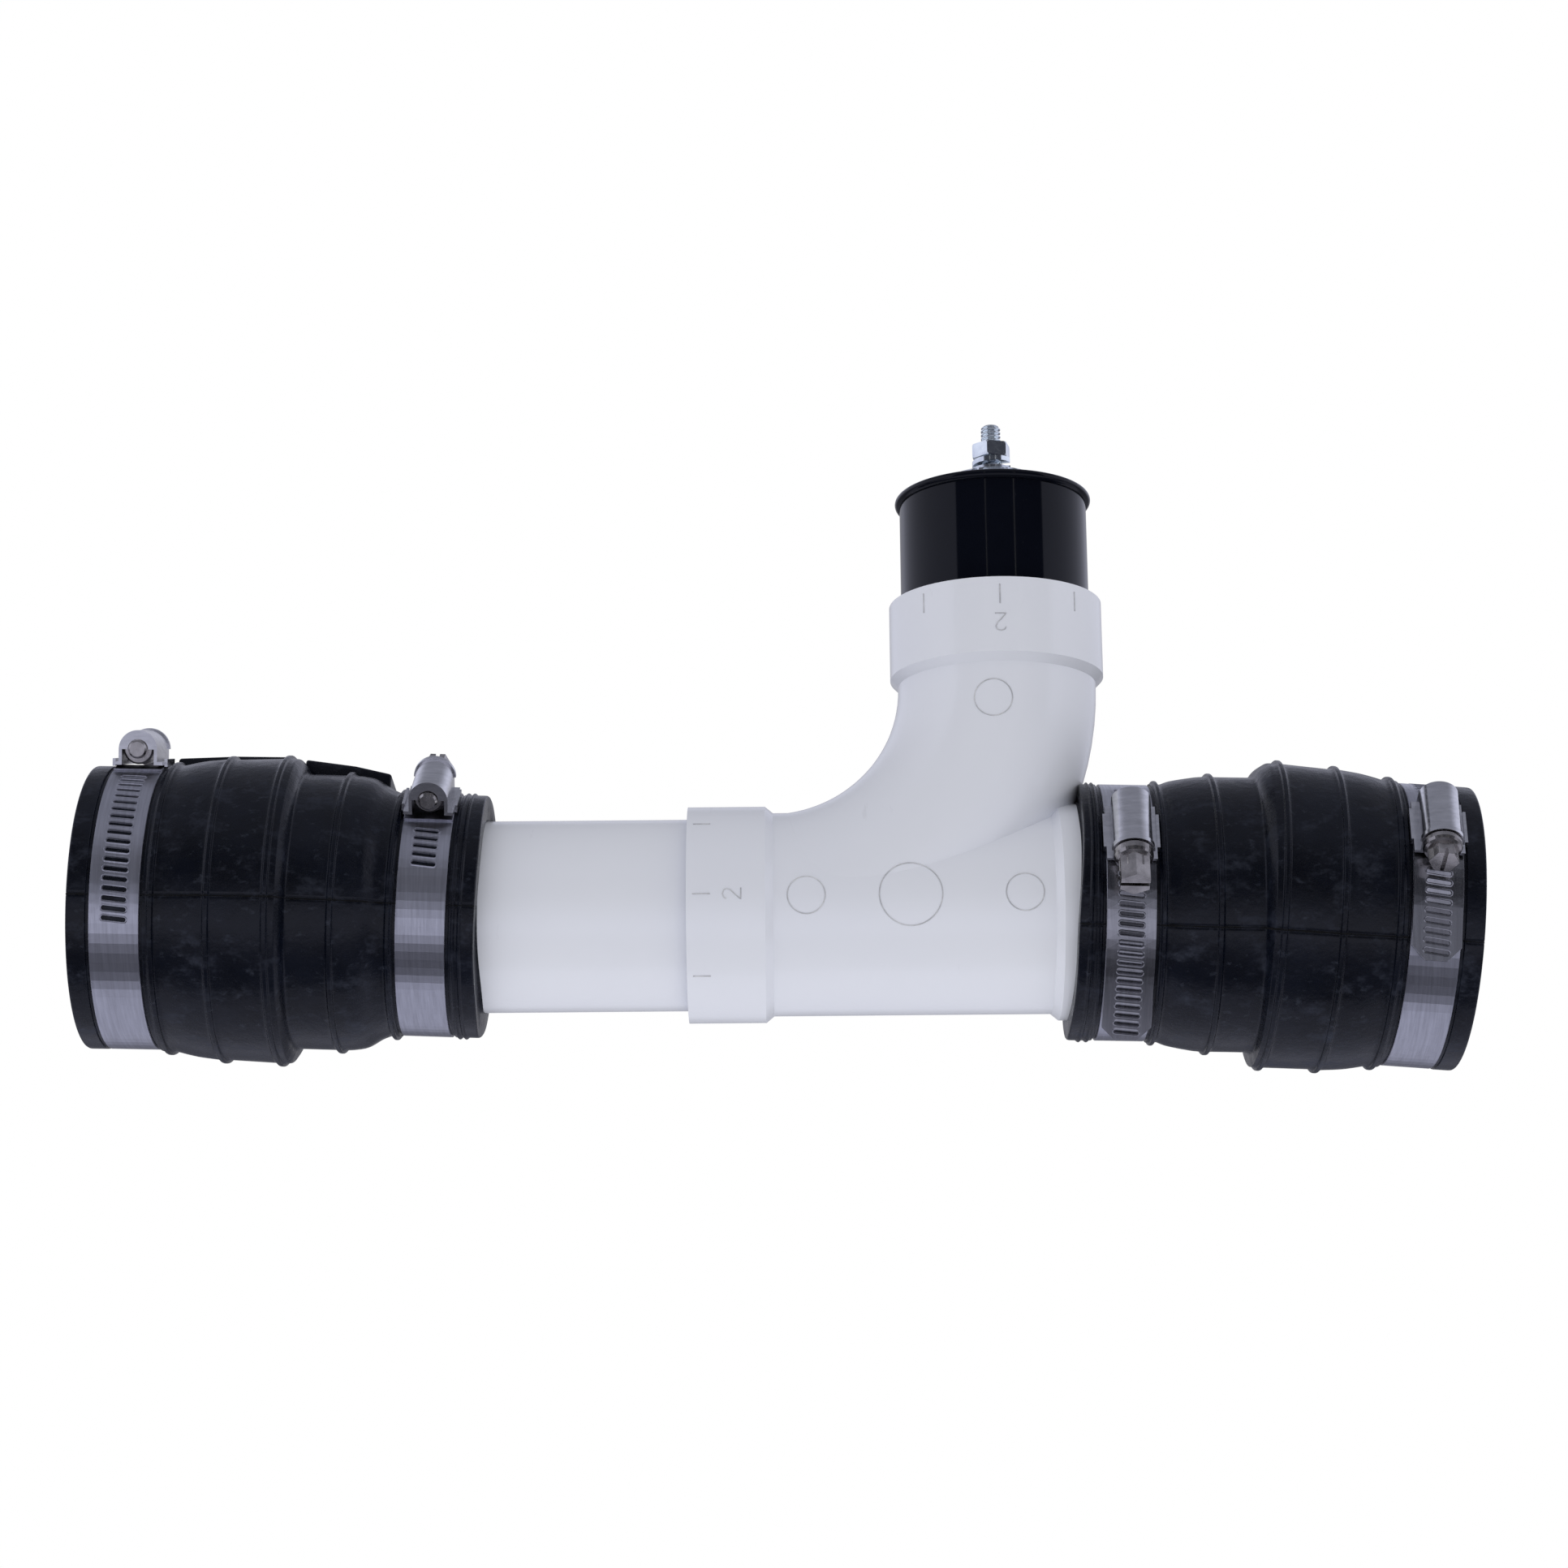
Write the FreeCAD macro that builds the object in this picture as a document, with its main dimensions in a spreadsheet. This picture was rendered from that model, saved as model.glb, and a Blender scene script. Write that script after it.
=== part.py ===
import FreeCAD, Part
import math
import os

import Sketcher

# Vacuum relief valve on a combination tee-wye, with two reducing rubber couplings.
# X runs along the line from the inlet to the outlet, Z points up the branch to the
# valve. The origin is at the stop inside the inlet coupling, on the coupling's axis.
# The coupling tilts up from its pipe, so the run's axis lies a little lower.

SIZES = [
    ("pipe_diameter", 60.3, "outside of the two-inch pipe"),
    ("pipe_bore", 52.5, "bore of the two-inch pipe and of the fitting's run"),
    ("socket_gap", 0.05, "radial gap of a cemented joint"),
    ("socket_depth", 19.0, "depth of each socket"),
    ("run_diameter", 64.0, "outside of the fitting between its hubs"),
    ("branch_diameter", 63.2, "outside of the swept branch"),
    ("branch_bore", 52.0, "bore of the swept branch"),
    ("hub_diameter", 68.1, "outside of the hubs"),
    ("hub_length", 24.2, "hub without its bevel"),
    ("hub_bevel", 2.5, "bevel behind each hub, along the axis"),
    ("inlet_hub_reach", 98.7, "branch axis to the inlet hub's mouth"),
    ("outlet_hub_reach", 41.4, "branch axis to the outlet hub's mouth"),
    ("branch_hub_reach", 100.3, "run axis to the branch hub's mouth"),
    ("neck_length", 2.8, "straight neck between the branch's sweep and its hub"),
    ("stub_showing", 61.9, "pipe between the inlet coupling and the fitting"),
    ("stub_clearance", 2.0, "pipe's end to the stop inside the inlet coupling"),
    ("half_length", 62.0, "large half of a coupling, from its stop"),
    ("inlet_tail_length", 63.4, "small half of the inlet coupling, from its stop"),
    ("outlet_tail_length", 56.6, "small half of the outlet coupling, from its stop"),
    ("port_diameter", 73.0, "large bore of a coupling"),
    ("port_wall", 7.3, "rubber under the large clamp"),
    ("stop_bore", 54.0, "hole through the stop"),
    ("stop_width", 8.0, "thickness of the stop"),
    ("band_seat_length", 17.4, "flat that a clamp lies in"),
    ("mouth_lip_length", 6.0, "rubber lip outside the large clamp"),
    ("mouth_lip_rise", 0.8, "lip above the large clamp's seat"),
    ("belly_rise", 4.1, "widest place above the large clamp's seat"),
    ("rib_radius", 1.2, "moulded rib, half its width"),
    ("rib_height", 1.1, "moulded rib above the rubber beside it"),
    ("rib_base_rise", 1.2, "rubber beside the large clamp above its seat"),
    ("clamp_rib_rise", 1.0, "rubber beside the small clamp above its seat"),
    ("middle_dip", 0.6, "large half's middle below its widest place"),
    ("rubber_edge", 0.8, "bevelled edge of a rubber lip"),
    ("port_rib_place", 36.2, "stop to the rib by the large clamp"),
    ("middle_rib_place", 19.0, "stop to the rib on the large half"),
    ("shoulder_radius", 3.0, "rounded step between the halves"),
    ("shoulder_place", 0.6, "stop to where the step's rounding starts"),
    ("halves_overlap", 3.0, "depth at which the two halves run into each other"),
    ("neck_diameter", 86.5, "small half beside the step"),
    ("neck_rib_place", 18.0, "stop to the rib on the small half"),
    ("neck_turn_place", 20.5, "stop to where the small half starts to close"),
    ("clamp_rib_place", 35.0, "stop to the rib by the small clamp"),
    ("tail_lip_rise", 0.7, "small end's lip above its clamp's seat"),
    ("tail_bead_radius", 0.84, "fine ribs on the small end's lip, half their width"),
    ("tail_bead_place", 1.3, "small clamp's seat to the first fine rib"),
    ("tail_bead_pitch", 2.0, "between the fine ribs"),
    ("inlet_grip_wall", 7.25, "rubber under the small clamp, at the inlet"),
    ("outlet_grip_wall", 5.55, "rubber under the small clamp, stretched"),
    ("stretched_length", 26.0, "small end that is stretched over the hub"),
    ("stretch_taper", 4.0, "where the bore closes from the hub to the pipe"),
    ("heel_room", 8.1, "hub left bare, so that the coupling clears the branch's heel"),
    ("bore_allowance", 2.7, "rubber bore, before the pipe's own bore is cut square"),
    ("inlet_tilt", 2.4, "inlet coupling leans up on its pipe, degrees"),
    ("outlet_tilt", -1.5, "outlet coupling leans down on its hub, degrees"),
    ("inlet_lean", -0.8, "large half of the inlet coupling against its small half"),
    ("outlet_lean", -3.1, "large half of the outlet coupling against its small half"),
    ("bar_width", 18.0, "raised bar moulded on the small half"),
    ("bar_length", 27.0, "raised bar along the axis"),
    ("bar_high", 47.4, "bar's edge at the step, from the axis"),
    ("bar_low", 40.6, "bar's edge at the small end, from the axis"),
    ("inlet_bar_angle", 20.0, "bar's turn from the top towards the back, at the inlet"),
    ("outlet_bar_angle", 105.0, "bar's turn from the top towards the back, at the outlet"),
    ("bar_root", 3.0, "bar's depth inside the rubber"),
    ("band_width", 15.2, "clamp band"),
    ("band_thickness", 0.65, "clamp band"),
    ("band_gap", 0.02, "band to the rubber that it lies on"),
    ("slot_pitch", 3.05, "worm slots in the band"),
    ("slot_length", 7.6, "worm slot across the band"),
    ("slot_width", 1.4, "worm slot along the band"),
    ("slot_slant", 5.0, "worm slot's slant, degrees"),
    ("tail_corner", 4.2, "cut corners of the band's free end"),
    ("housing_length", 20.0, "screw housing"),
    ("housing_wall", 1.0, "screw housing"),
    ("worm_diameter", 9.4, "worm of the clamp screw"),
    ("worm_gap", 0.3, "worm to its housing and its band"),
    ("ear_length", 12.5, "folded ears beside the housing"),
    ("ear_thickness", 0.9, "folded ears beside the housing"),
    ("ear_height", 2.4, "folded ears beside the housing"),
    ("ear_lift", 0.95, "folded ears above the rubber"),
    ("housing_gap", 0.1, "housing to the band that it holds"),
    ("rim_rise", 0.55, "rolled rim above the housing"),
    ("rim_root", 0.3, "rolled rim and end wall inside the housing's wall"),
    ("rim_length", 1.5, "rolled rim of the housing at the screw head"),
    ("collar_diameter", 11.0, "collar under the screw's hexagon"),
    ("collar_length", 2.2, "collar under the screw's hexagon"),
    ("screw_hexagon", 8.0, "clamp screw across flats"),
    ("screw_head_length", 5.2, "clamp screw's hexagon"),
    ("screw_edge", 0.6, "bevelled edges of the screw"),
    ("screw_slot_width", 1.3, "driver slot"),
    ("screw_slot_depth", 2.2, "driver slot"),
    ("tip_diameter", 5.8, "end of the screw, beyond the housing"),
    ("tip_length", 1.2, "end of the screw, beyond the housing"),
    ("inlet_port_clamp_angle", 15.0, "turn from the top towards the front"),
    ("inlet_pipe_clamp_angle", 37.0, "turn from the top towards the front"),
    ("outlet_hub_clamp_angle", 66.0, "turn from the top towards the front"),
    ("outlet_port_clamp_angle", 61.0, "turn from the top towards the front"),
    ("inlet_port_tail", 62.0, "free end of the band, degrees"),
    ("inlet_pipe_tail", 70.0, "free end of the band, degrees"),
    ("outlet_hub_tail", 103.0, "free end of the band, degrees"),
    ("outlet_port_tail", 46.0, "free end of the band, degrees"),
    ("inlet_port_slotted", 80.0, "slotted band behind the housing, degrees"),
    ("inlet_pipe_slotted", 32.0, "slotted band behind the housing, degrees"),
    ("outlet_hub_slotted", 34.0, "slotted band behind the housing, degrees"),
    ("outlet_port_slotted", 60.0, "slotted band behind the housing, degrees"),
    ("tube_top", 137.0, "run axis to the valve tube's rim"),
    ("tube_wall", 2.75, "valve tube"),
    ("tube_rim_radius", 1.5, "rolled rim of the valve tube"),
    ("ledge_depth", 4.8, "rim to the ledge that carries the seat"),
    ("ledge_width", 0.8, "ledge that carries the seat"),
    ("lay_in_gap", 0.1, "radial gap of a part that lies in the tube"),
    ("seat_thickness", 3.0, "seat ring"),
    ("seat_bore", 40.0, "seat ring's opening"),
    ("plate_thickness", 1.2, "vented dome"),
    ("dome_diameter", 51.0, "curved part of the vented dome"),
    ("dome_rise", 9.7, "vented dome above its rim"),
    ("boss_diameter", 13.0, "flat in the middle of the dome"),
    ("boss_rise", 0.9, "flat in the middle of the dome"),
    ("dome_step", 0.72, "hollow side of the dome inside its curved side"),
    ("vent_count", 10.0, "vents in the dome"),
    ("vent_width", 4.0, "vent across"),
    ("vent_start", 12.0, "vent's inner centre from the axis"),
    ("vent_end", 20.0, "vent's outer centre from the axis"),
    ("bolt_diameter", 6.35, "valve bolt"),
    ("bolt_length", 69.85, "valve bolt under its head"),
    ("bolt_head_height", 4.0, "valve bolt"),
    ("bolt_point", 0.8, "bevelled end of the bolt"),
    ("nut_flats", 11.1, "nut and bolt head across flats"),
    ("nut_height", 4.76, "adjusting nut"),
    ("nut_angle", 15.0, "adjusting nut's turn, degrees"),
    ("nut_seat_gap", 0.1, "nut above the lock washer's split"),
    ("corner_rounding", 0.25, "rounded corners of the nut and the bolt head"),
    ("thread_gap", 0.05, "radial gap of the nut on the bolt"),
    ("bush_gap", 0.08, "radial gap of the bush on the bolt"),
    ("hole_gap", 0.2, "radial gap of a loose washer on the bolt"),
    ("lock_washer_diameter", 12.4, "spring lock washer"),
    ("lock_washer_thickness", 1.57, "spring lock washer"),
    ("lock_washer_rise", 1.9, "how far the split stands open"),
    ("lock_washer_turn", 0.96, "part of a turn that the lock washer goes round"),
    ("bolt_showing", 6.5, "bolt above the nut"),
    ("retainer_diameter", 22.0, "washer under the spring"),
    ("retainer_thickness", 1.6, "washer under the spring"),
    ("gasket_diameter", 47.0, "face of the valve disc"),
    ("gasket_thickness", 2.5, "face of the valve disc"),
    ("disc_diameter", 46.0, "valve disc"),
    ("disc_thickness", 2.0, "valve disc"),
    ("bush_diameter", 12.0, "guide bush under the disc"),
    ("bush_length", 9.0, "guide bush under the disc"),
    ("bush_flange", 1.2, "guide bush's flange, thickness"),
    ("bush_flange_width", 2.0, "guide bush's flange beyond the bush"),
    ("spring_diameter", 19.0, "spring, outside"),
    ("spring_wire", 1.3, "spring wire"),
    ("spring_turns", 7.5, "turns of the spring"),
    ("spring_gap", 0.05, "spring to the faces that it bears on"),
    ("tool_margin", 1.0, "how far a cutting tool reaches past what it cuts"),
]


class Size:
    """A number together with the sheet expression that gives it."""

    def __init__(self, value, text):
        self.value = value
        self.text = text

    def __add__(self, other):
        other = as_size(other)
        return Size(self.value + other.value, f"({self.text} + {other.text})")

    def __sub__(self, other):
        other = as_size(other)
        return Size(self.value - other.value, f"({self.text} - {other.text})")

    def __mul__(self, other):
        other = as_size(other)
        return Size(self.value * other.value, f"({self.text} * {other.text})")

    def __truediv__(self, other):
        other = as_size(other)
        return Size(self.value / other.value, f"({self.text} / {other.text})")

    def __neg__(self):
        return Size(-self.value, f"(0 - {self.text})")


def as_size(number):
    if isinstance(number, Size):
        return number
    return Size(float(number), f"({number})")


def root(size):
    return Size(math.sqrt(size.value), f"sqrt({size.text})")


def sine(angle):
    return Size(math.sin(math.radians(angle.value)), f"sin({angle.text})")


def cosine(angle):
    return Size(math.cos(math.radians(angle.value)), f"cos({angle.text})")


def degrees(ratio):
    """An angle in degrees from an arc length over its radius."""
    return ratio * (180.0 / math.pi)


doc = FreeCAD.newDocument("vacuum_relief_valve")
sheet = doc.addObject("Spreadsheet::Sheet", "Sizes")
for row, (alias, number, meaning) in enumerate(SIZES, start=1):
    sheet.set(f"A{row}", alias)
    sheet.set(f"B{row}", str(number))
    sheet.set(f"C{row}", meaning)
    sheet.setAlias(f"B{row}", alias)
doc.recompute()


def size(alias):
    return Size(float(sheet.get(alias)), f"Sizes.{alias}")


def bind(feature, **properties):
    """Ties properties of a feature to sizes."""
    for name, value in properties.items():
        value = as_size(value)
        setattr(feature, name, value.value)
        feature.setExpression(name, value.text)


def move(x=0, y=0, z=0):
    parts = [as_size(part).text for part in (x, y, z)]
    return f"placement(vector({'; '.join(parts)}); rotation(vector(0; 0; 1); 0))"


def turn(axis, angle):
    direction = {"X": "1; 0; 0", "Y": "0; 1; 0", "Z": "0; 0; 1"}[axis]
    return f"placement(vector(0; 0; 0); rotation(vector({direction}); {as_size(angle).text}))"


def pose(feature, steps, name="Placement"):
    """Places a feature by a chain of moves and turns, the outermost first."""
    feature.setExpression(name, " * ".join(steps))


class Arc:
    """An arc of an outline, between the corners before and after it."""

    def __init__(self, x, y, clockwise):
        self.centre = (as_size(x), as_size(y))
        self.clockwise = clockwise


def hold(sketch, geometry, point, x=None, y=None):
    """Fixes a point of a sketch to its place, in X, in Y or in both."""
    for coordinate, kind, axis in ((x, "DistanceX", -2), (y, "DistanceY", -1)):
        if coordinate is None:
            continue
        if abs(coordinate.value) < 1e-9:
            sketch.addConstraint(Sketcher.Constraint("PointOnObject", geometry, point, axis))
            continue
        limit = Sketcher.Constraint(kind, -1, 1, geometry, point, coordinate.value)
        index = sketch.addConstraint(limit)
        sketch.setExpression(f"Constraints[{index}]", coordinate.text)


def outline(body, label, plane, steps, offset=()):
    """A closed sketch through the given corners, with arcs where they stand between."""
    sketch = body.newObject("Sketcher::SketchObject", label)
    sketch.AttachmentSupport = [(origin_plane(body, plane), "")]
    sketch.MapMode = "FlatFace"
    if offset:
        pose(sketch, offset, "AttachmentOffset")
    corners = [tuple(map(as_size, step)) for step in steps if not isinstance(step, Arc)]
    arcs = {}
    count = 0
    for step in steps:
        if isinstance(step, Arc):
            arcs[count - 1] = step
        else:
            count += 1
    ends = []
    for index, start in enumerate(corners):
        stop = corners[(index + 1) % count]
        first = FreeCAD.Vector(start[0].value, start[1].value, 0)
        last = FreeCAD.Vector(stop[0].value, stop[1].value, 0)
        if index not in arcs:
            geometry = sketch.addGeometry(Part.LineSegment(first, last))
            ends.append((geometry, 1, 2))
            continue
        arc = arcs[index]
        centre = FreeCAD.Vector(arc.centre[0].value, arc.centre[1].value, 0)
        angles = [math.atan2(end.y - centre.y, end.x - centre.x) for end in (first, last)]
        if arc.clockwise:
            angles.reverse()
        circle = Part.Circle(centre, FreeCAD.Vector(0, 0, 1), (first - centre).Length)
        geometry = sketch.addGeometry(Part.ArcOfCircle(circle, angles[0], angles[1]))
        hold(sketch, geometry, 3, *arc.centre)
        ends.append((geometry, 2, 1) if arc.clockwise else (geometry, 1, 2))
    for index, corner in enumerate(corners):
        before = ends[index - 1]
        after = ends[index]
        join = Sketcher.Constraint("Coincident", before[0], before[2], after[0], after[1])
        sketch.addConstraint(join)
        arc = arcs.get((index - 1) % count)
        if arc is None:
            hold(sketch, after[0], after[1], *corner)
            continue
        across = abs(corner[1].value - arc.centre[1].value)
        along = abs(corner[0].value - arc.centre[0].value)
        if across > along:
            hold(sketch, after[0], after[1], x=corner[0])
        else:
            hold(sketch, after[0], after[1], y=corner[1])
    return sketch


def circles(body, label, plane, rounds):
    """A sketch of circles, each given by its centre and its radius."""
    sketch = body.newObject("Sketcher::SketchObject", label)
    sketch.AttachmentSupport = [(origin_plane(body, plane), "")]
    sketch.MapMode = "FlatFace"
    for x, y, radius in rounds:
        x, y, radius = map(as_size, (x, y, radius))
        centre = FreeCAD.Vector(x.value, y.value, 0)
        circle = Part.Circle(centre, FreeCAD.Vector(0, 0, 1), radius.value)
        geometry = sketch.addGeometry(circle)
        hold(sketch, geometry, 3, x, y)
        index = sketch.addConstraint(Sketcher.Constraint("Radius", geometry, radius.value))
        sketch.setExpression(f"Constraints[{index}]", radius.text)
    return sketch


def origin_plane(body, role):
    for feature in body.Origin.OriginFeatures:
        if feature.Role == role:
            return feature


def new_body(label):
    body = doc.addObject("PartDesign::Body", label)
    body.Label = label
    return body


def revolve(body, sketch, axis):
    feature = body.newObject("PartDesign::Revolution", sketch.Name + "_turned")
    feature.Profile = sketch
    feature.ReferenceAxis = (sketch, [axis])
    feature.Angle = 360
    return feature


def pad(body, sketch, length, symmetric=True, reverse=False):
    feature = body.newObject("PartDesign::Pad", sketch.Name + "_pad")
    feature.Profile = sketch
    feature.SideType = "Symmetric" if symmetric else "One side"
    feature.Reversed = reverse
    bind(feature, Length=length)
    return feature


def turned(label, corners):
    """A body of one outline, revolved about Z."""
    body = new_body(label)
    revolve(body, outline(body, label + "_outline", "XZ_Plane", corners), "V_Axis")
    return body


def washer(label, bore, outside, bottom, top):
    corners = [(bore, bottom), (outside, bottom), (outside, top), (bore, top)]
    return turned(label, corners)


def rod(name, direction, start, stop, radius, far_radius=None):
    """A cylinder, or a cone, from one station to another along X or Z."""
    if far_radius is None:
        feature = doc.addObject("Part::Cylinder", name)
        bind(feature, Radius=radius)
    else:
        feature = doc.addObject("Part::Cone", name)
        bind(feature, Radius1=radius, Radius2=far_radius)
    bind(feature, Height=as_size(stop) - start)
    if direction == "X":
        pose(feature, [move(x=start), turn("Y", 90)])
    else:
        pose(feature, [move(z=start)])
    return feature


def fuse(name, pieces):
    feature = doc.addObject("Part::MultiFuse", name)
    feature.Shapes = pieces
    feature.Refine = True
    return feature


def cut(label, whole, tool):
    feature = doc.addObject("Part::Cut", label)
    feature.Base = whole
    feature.Tool = tool
    feature.Label = label
    return feature


PIPE_RADIUS = size("pipe_diameter") / 2
HUB_RADIUS = size("hub_diameter") / 2
SOCKET_RADIUS = PIPE_RADIUS + size("socket_gap")
HALF = size("half_length")
INLET_TAIL = size("inlet_tail_length")
OUTLET_TAIL = size("outlet_tail_length")
INLET_MOUTH = INLET_TAIL + size("stub_showing")
BRANCH = INLET_MOUTH + size("inlet_hub_reach")
OUTLET_MOUTH = BRANCH + size("outlet_hub_reach")
OUTLET_RUBBER = OUTLET_MOUTH - size("hub_length") + size("heel_room")
RUN = move(z=-INLET_TAIL * sine(size("inlet_tilt")))
SWEEP = size("branch_hub_reach") - size("hub_length") - size("neck_length")
MARGIN = size("tool_margin")


def swept(name, diameter):
    """A quarter of a ring that carries the branch from the run up to its hub."""
    ring = doc.addObject("Part::Torus", name)
    bind(ring, Radius1=SWEEP, Radius2=diameter / 2)
    ring.Angle3 = 90
    pose(ring, [move(x=BRANCH - SWEEP, z=SWEEP), turn("X", -90)])
    return ring


def upright(name, start, stop, radius, far_radius=None):
    """A cylinder or cone on the branch's axis."""
    feature = rod(name, "Z", start, stop, radius, far_radius)
    pose(feature, [move(x=BRANCH, z=start)])
    return feature


def build_fitting():
    run_radius = size("run_diameter") / 2
    branch_radius = size("branch_diameter") / 2
    bevel = size("hub_bevel")
    inlet_end = INLET_MOUTH + size("hub_length")
    outlet_end = OUTLET_MOUTH - size("hub_length")
    branch_end = size("branch_hub_reach") - size("hub_length")
    outside = fuse("fitting_outside", [
        rod("run_wall", "X", inlet_end, outlet_end, run_radius),
        rod("inlet_hub", "X", INLET_MOUTH, inlet_end, HUB_RADIUS),
        rod("inlet_bevel", "X", inlet_end, inlet_end + bevel, HUB_RADIUS, run_radius),
        rod("outlet_hub", "X", outlet_end, OUTLET_MOUTH, HUB_RADIUS),
        rod("outlet_bevel", "X", outlet_end - bevel, outlet_end, run_radius, HUB_RADIUS),
        swept("branch_wall", size("branch_diameter")),
        upright("branch_neck", SWEEP, branch_end, branch_radius),
        upright("branch_bevel", branch_end - bevel, branch_end, branch_radius, HUB_RADIUS),
        upright("branch_hub", branch_end, size("branch_hub_reach"), HUB_RADIUS),
    ])
    depth = size("socket_depth")
    floor = size("branch_hub_reach") - depth
    inside = fuse("fitting_inside", [
        rod("run_bore", "X", INLET_MOUTH, OUTLET_MOUTH, size("pipe_bore") / 2),
        rod("inlet_socket", "X", INLET_MOUTH, INLET_MOUTH + depth, SOCKET_RADIUS),
        rod("outlet_socket", "X", OUTLET_MOUTH - depth, OUTLET_MOUTH, SOCKET_RADIUS),
        swept("branch_passage", size("branch_bore")),
        upright("branch_bore_top", SWEEP, floor, size("branch_bore") / 2),
        upright("branch_socket", floor, size("branch_hub_reach"), SOCKET_RADIUS),
    ])
    fitting = cut("tee_wye_fitting", outside, inside)
    pose(fitting, [RUN])
    return fitting


def build_stub():
    start = size("stop_width") + size("stub_clearance")
    stop = INLET_MOUTH + size("socket_depth")
    wall = rod("stub_wall", "X", start, stop, PIPE_RADIUS)
    bore = rod("stub_bore", "X", start, stop, size("pipe_bore") / 2)
    stub = cut("pipe_stub", wall, bore)
    pose(stub, [RUN])
    return stub


def moulded_rib(place, height, rib):
    """A low rib with bevelled sides, drawn from +X to -X."""
    top = height + size("rib_height") * rib / size("rib_radius")
    return [
        (place + rib, height),
        (place + rib / 2, top),
        (place - rib / 2, top),
        (place - rib, height),
    ]


def build_coupling(label, tail, beads, tilt, lean, bar_turn, grip_radius, grip_wall, steps):
    """A reducing coupling: its stop is at X 0, its large mouth at +X, its small end at -X.

    The axis of the large half leans against the axis of the small half. The coupling
    tilts about its small end, and the bore that grips the pipe stays in line with it.
    """
    rib = size("rib_radius")
    port = size("port_diameter") / 2
    seat = port + size("port_wall")
    lip = seat + size("mouth_lip_rise")
    belly = seat + size("belly_rise")
    middle = belly - size("middle_dip")
    edge = size("rubber_edge")
    shoulder = size("shoulder_radius")
    crown = -size("shoulder_place")
    overlap = size("halves_overlap")
    neck = size("neck_diameter") / 2
    stop = size("stop_width")
    lip_start = HALF - size("mouth_lip_length")
    seat_start = lip_start - size("band_seat_length")
    port_rib = size("port_rib_place")
    beside = seat + size("rib_base_rise")

    body = new_body(label)
    large = outline(body, label + "_large", "XZ_Plane", [
        (-stop, size("stop_bore") / 2),
        (0, size("stop_bore") / 2),
        (0, port),
        (HALF, port),
        (HALF, lip - edge),
        (HALF - edge, lip),
        (lip_start, lip),
        (lip_start, seat),
        (seat_start, seat),
        (seat_start, beside),
        *moulded_rib(port_rib, beside, rib),
        *moulded_rib(size("middle_rib_place"), middle, rib),
        *moulded_rib(rib, belly, rib),
        (crown, belly),
        Arc(crown, belly - shoulder, clockwise=False),
        (crown - shoulder, belly - shoulder),
        (crown - shoulder, neck - overlap),
        (-stop, neck - overlap),
    ], [turn("Z", lean)])
    revolve(body, large, "H_Axis")

    grip_seat = grip_radius + grip_wall
    rib_base = grip_seat + size("clamp_rib_rise")
    seat_near = -size("clamp_rib_place") - rib
    seat_far = seat_near - size("band_seat_length")
    tail_lip = grip_seat + size("tail_lip_rise")
    bead = size("tail_bead_radius")
    bead_place = seat_far - size("tail_bead_place")
    turn_place = -size("neck_turn_place")
    close_place = -size("clamp_rib_place") + rib
    width = turn_place - close_place
    drop = neck - rib_base
    bulge = (width * width + drop * drop) / (drop * 2)
    pipe_seat = PIPE_RADIUS + size("socket_gap")
    inside = pipe_seat - size("bore_allowance")
    step_place = -stop - size("stub_clearance")
    fine_ribs = []
    for number in range(beads):
        place = bead_place - size("tail_bead_pitch") * number
        fine_ribs += moulded_rib(place, tail_lip, bead)
    small = outline(body, label + "_small", "XZ_Plane", [
        (-tail, inside),
        (step_place, inside),
        (step_place, pipe_seat + size("bore_allowance")),
        (-overlap, pipe_seat + size("bore_allowance")),
        (-overlap, port + edge),
        (overlap / 2, port + edge),
        (overlap / 2, neck),
        *moulded_rib(-size("neck_rib_place"), neck, rib),
        (turn_place, neck),
        Arc(turn_place, neck - bulge, clockwise=False),
        *moulded_rib(close_place - rib, rib_base, rib),
        (seat_near, grip_seat),
        (seat_far, grip_seat),
        (seat_far, tail_lip),
        *fine_ribs,
        (-tail + edge, tail_lip),
        (-tail, tail_lip - edge),
    ])
    revolve(body, small, "H_Axis")

    bar_start = -stop / 2
    bar_stop = -size("bar_length") - stop
    bar = outline(body, label + "_bar", "XZ_Plane", [
        (bar_start, neck - size("bar_root")),
        (bar_start, size("bar_high")),
        (bar_stop, size("bar_low")),
        (bar_stop, rib_base - size("bar_root")),
    ], [turn("X", bar_turn)])
    pad(body, bar, size("bar_width"))

    outside = -tail - MARGIN * 3
    stretched = -tail + size("stretched_length")
    bore = outline(body, label + "_bore", "XZ_Plane", [
        (outside, 0),
        (outside, grip_radius),
        (stretched, grip_radius),
        (stretched + size("stretch_taper"), pipe_seat),
        (-stop, pipe_seat),
        (-stop, 0),
    ], [move(x=-tail), turn("Z", -tilt), move(x=tail)])
    groove = body.newObject("PartDesign::Groove", label + "_bore_cut")
    groove.Profile = bore
    groove.ReferenceAxis = (bore, ["H_Axis"])
    groove.Angle = 360
    body.Tip = groove
    pose(body, steps)
    return body


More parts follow.
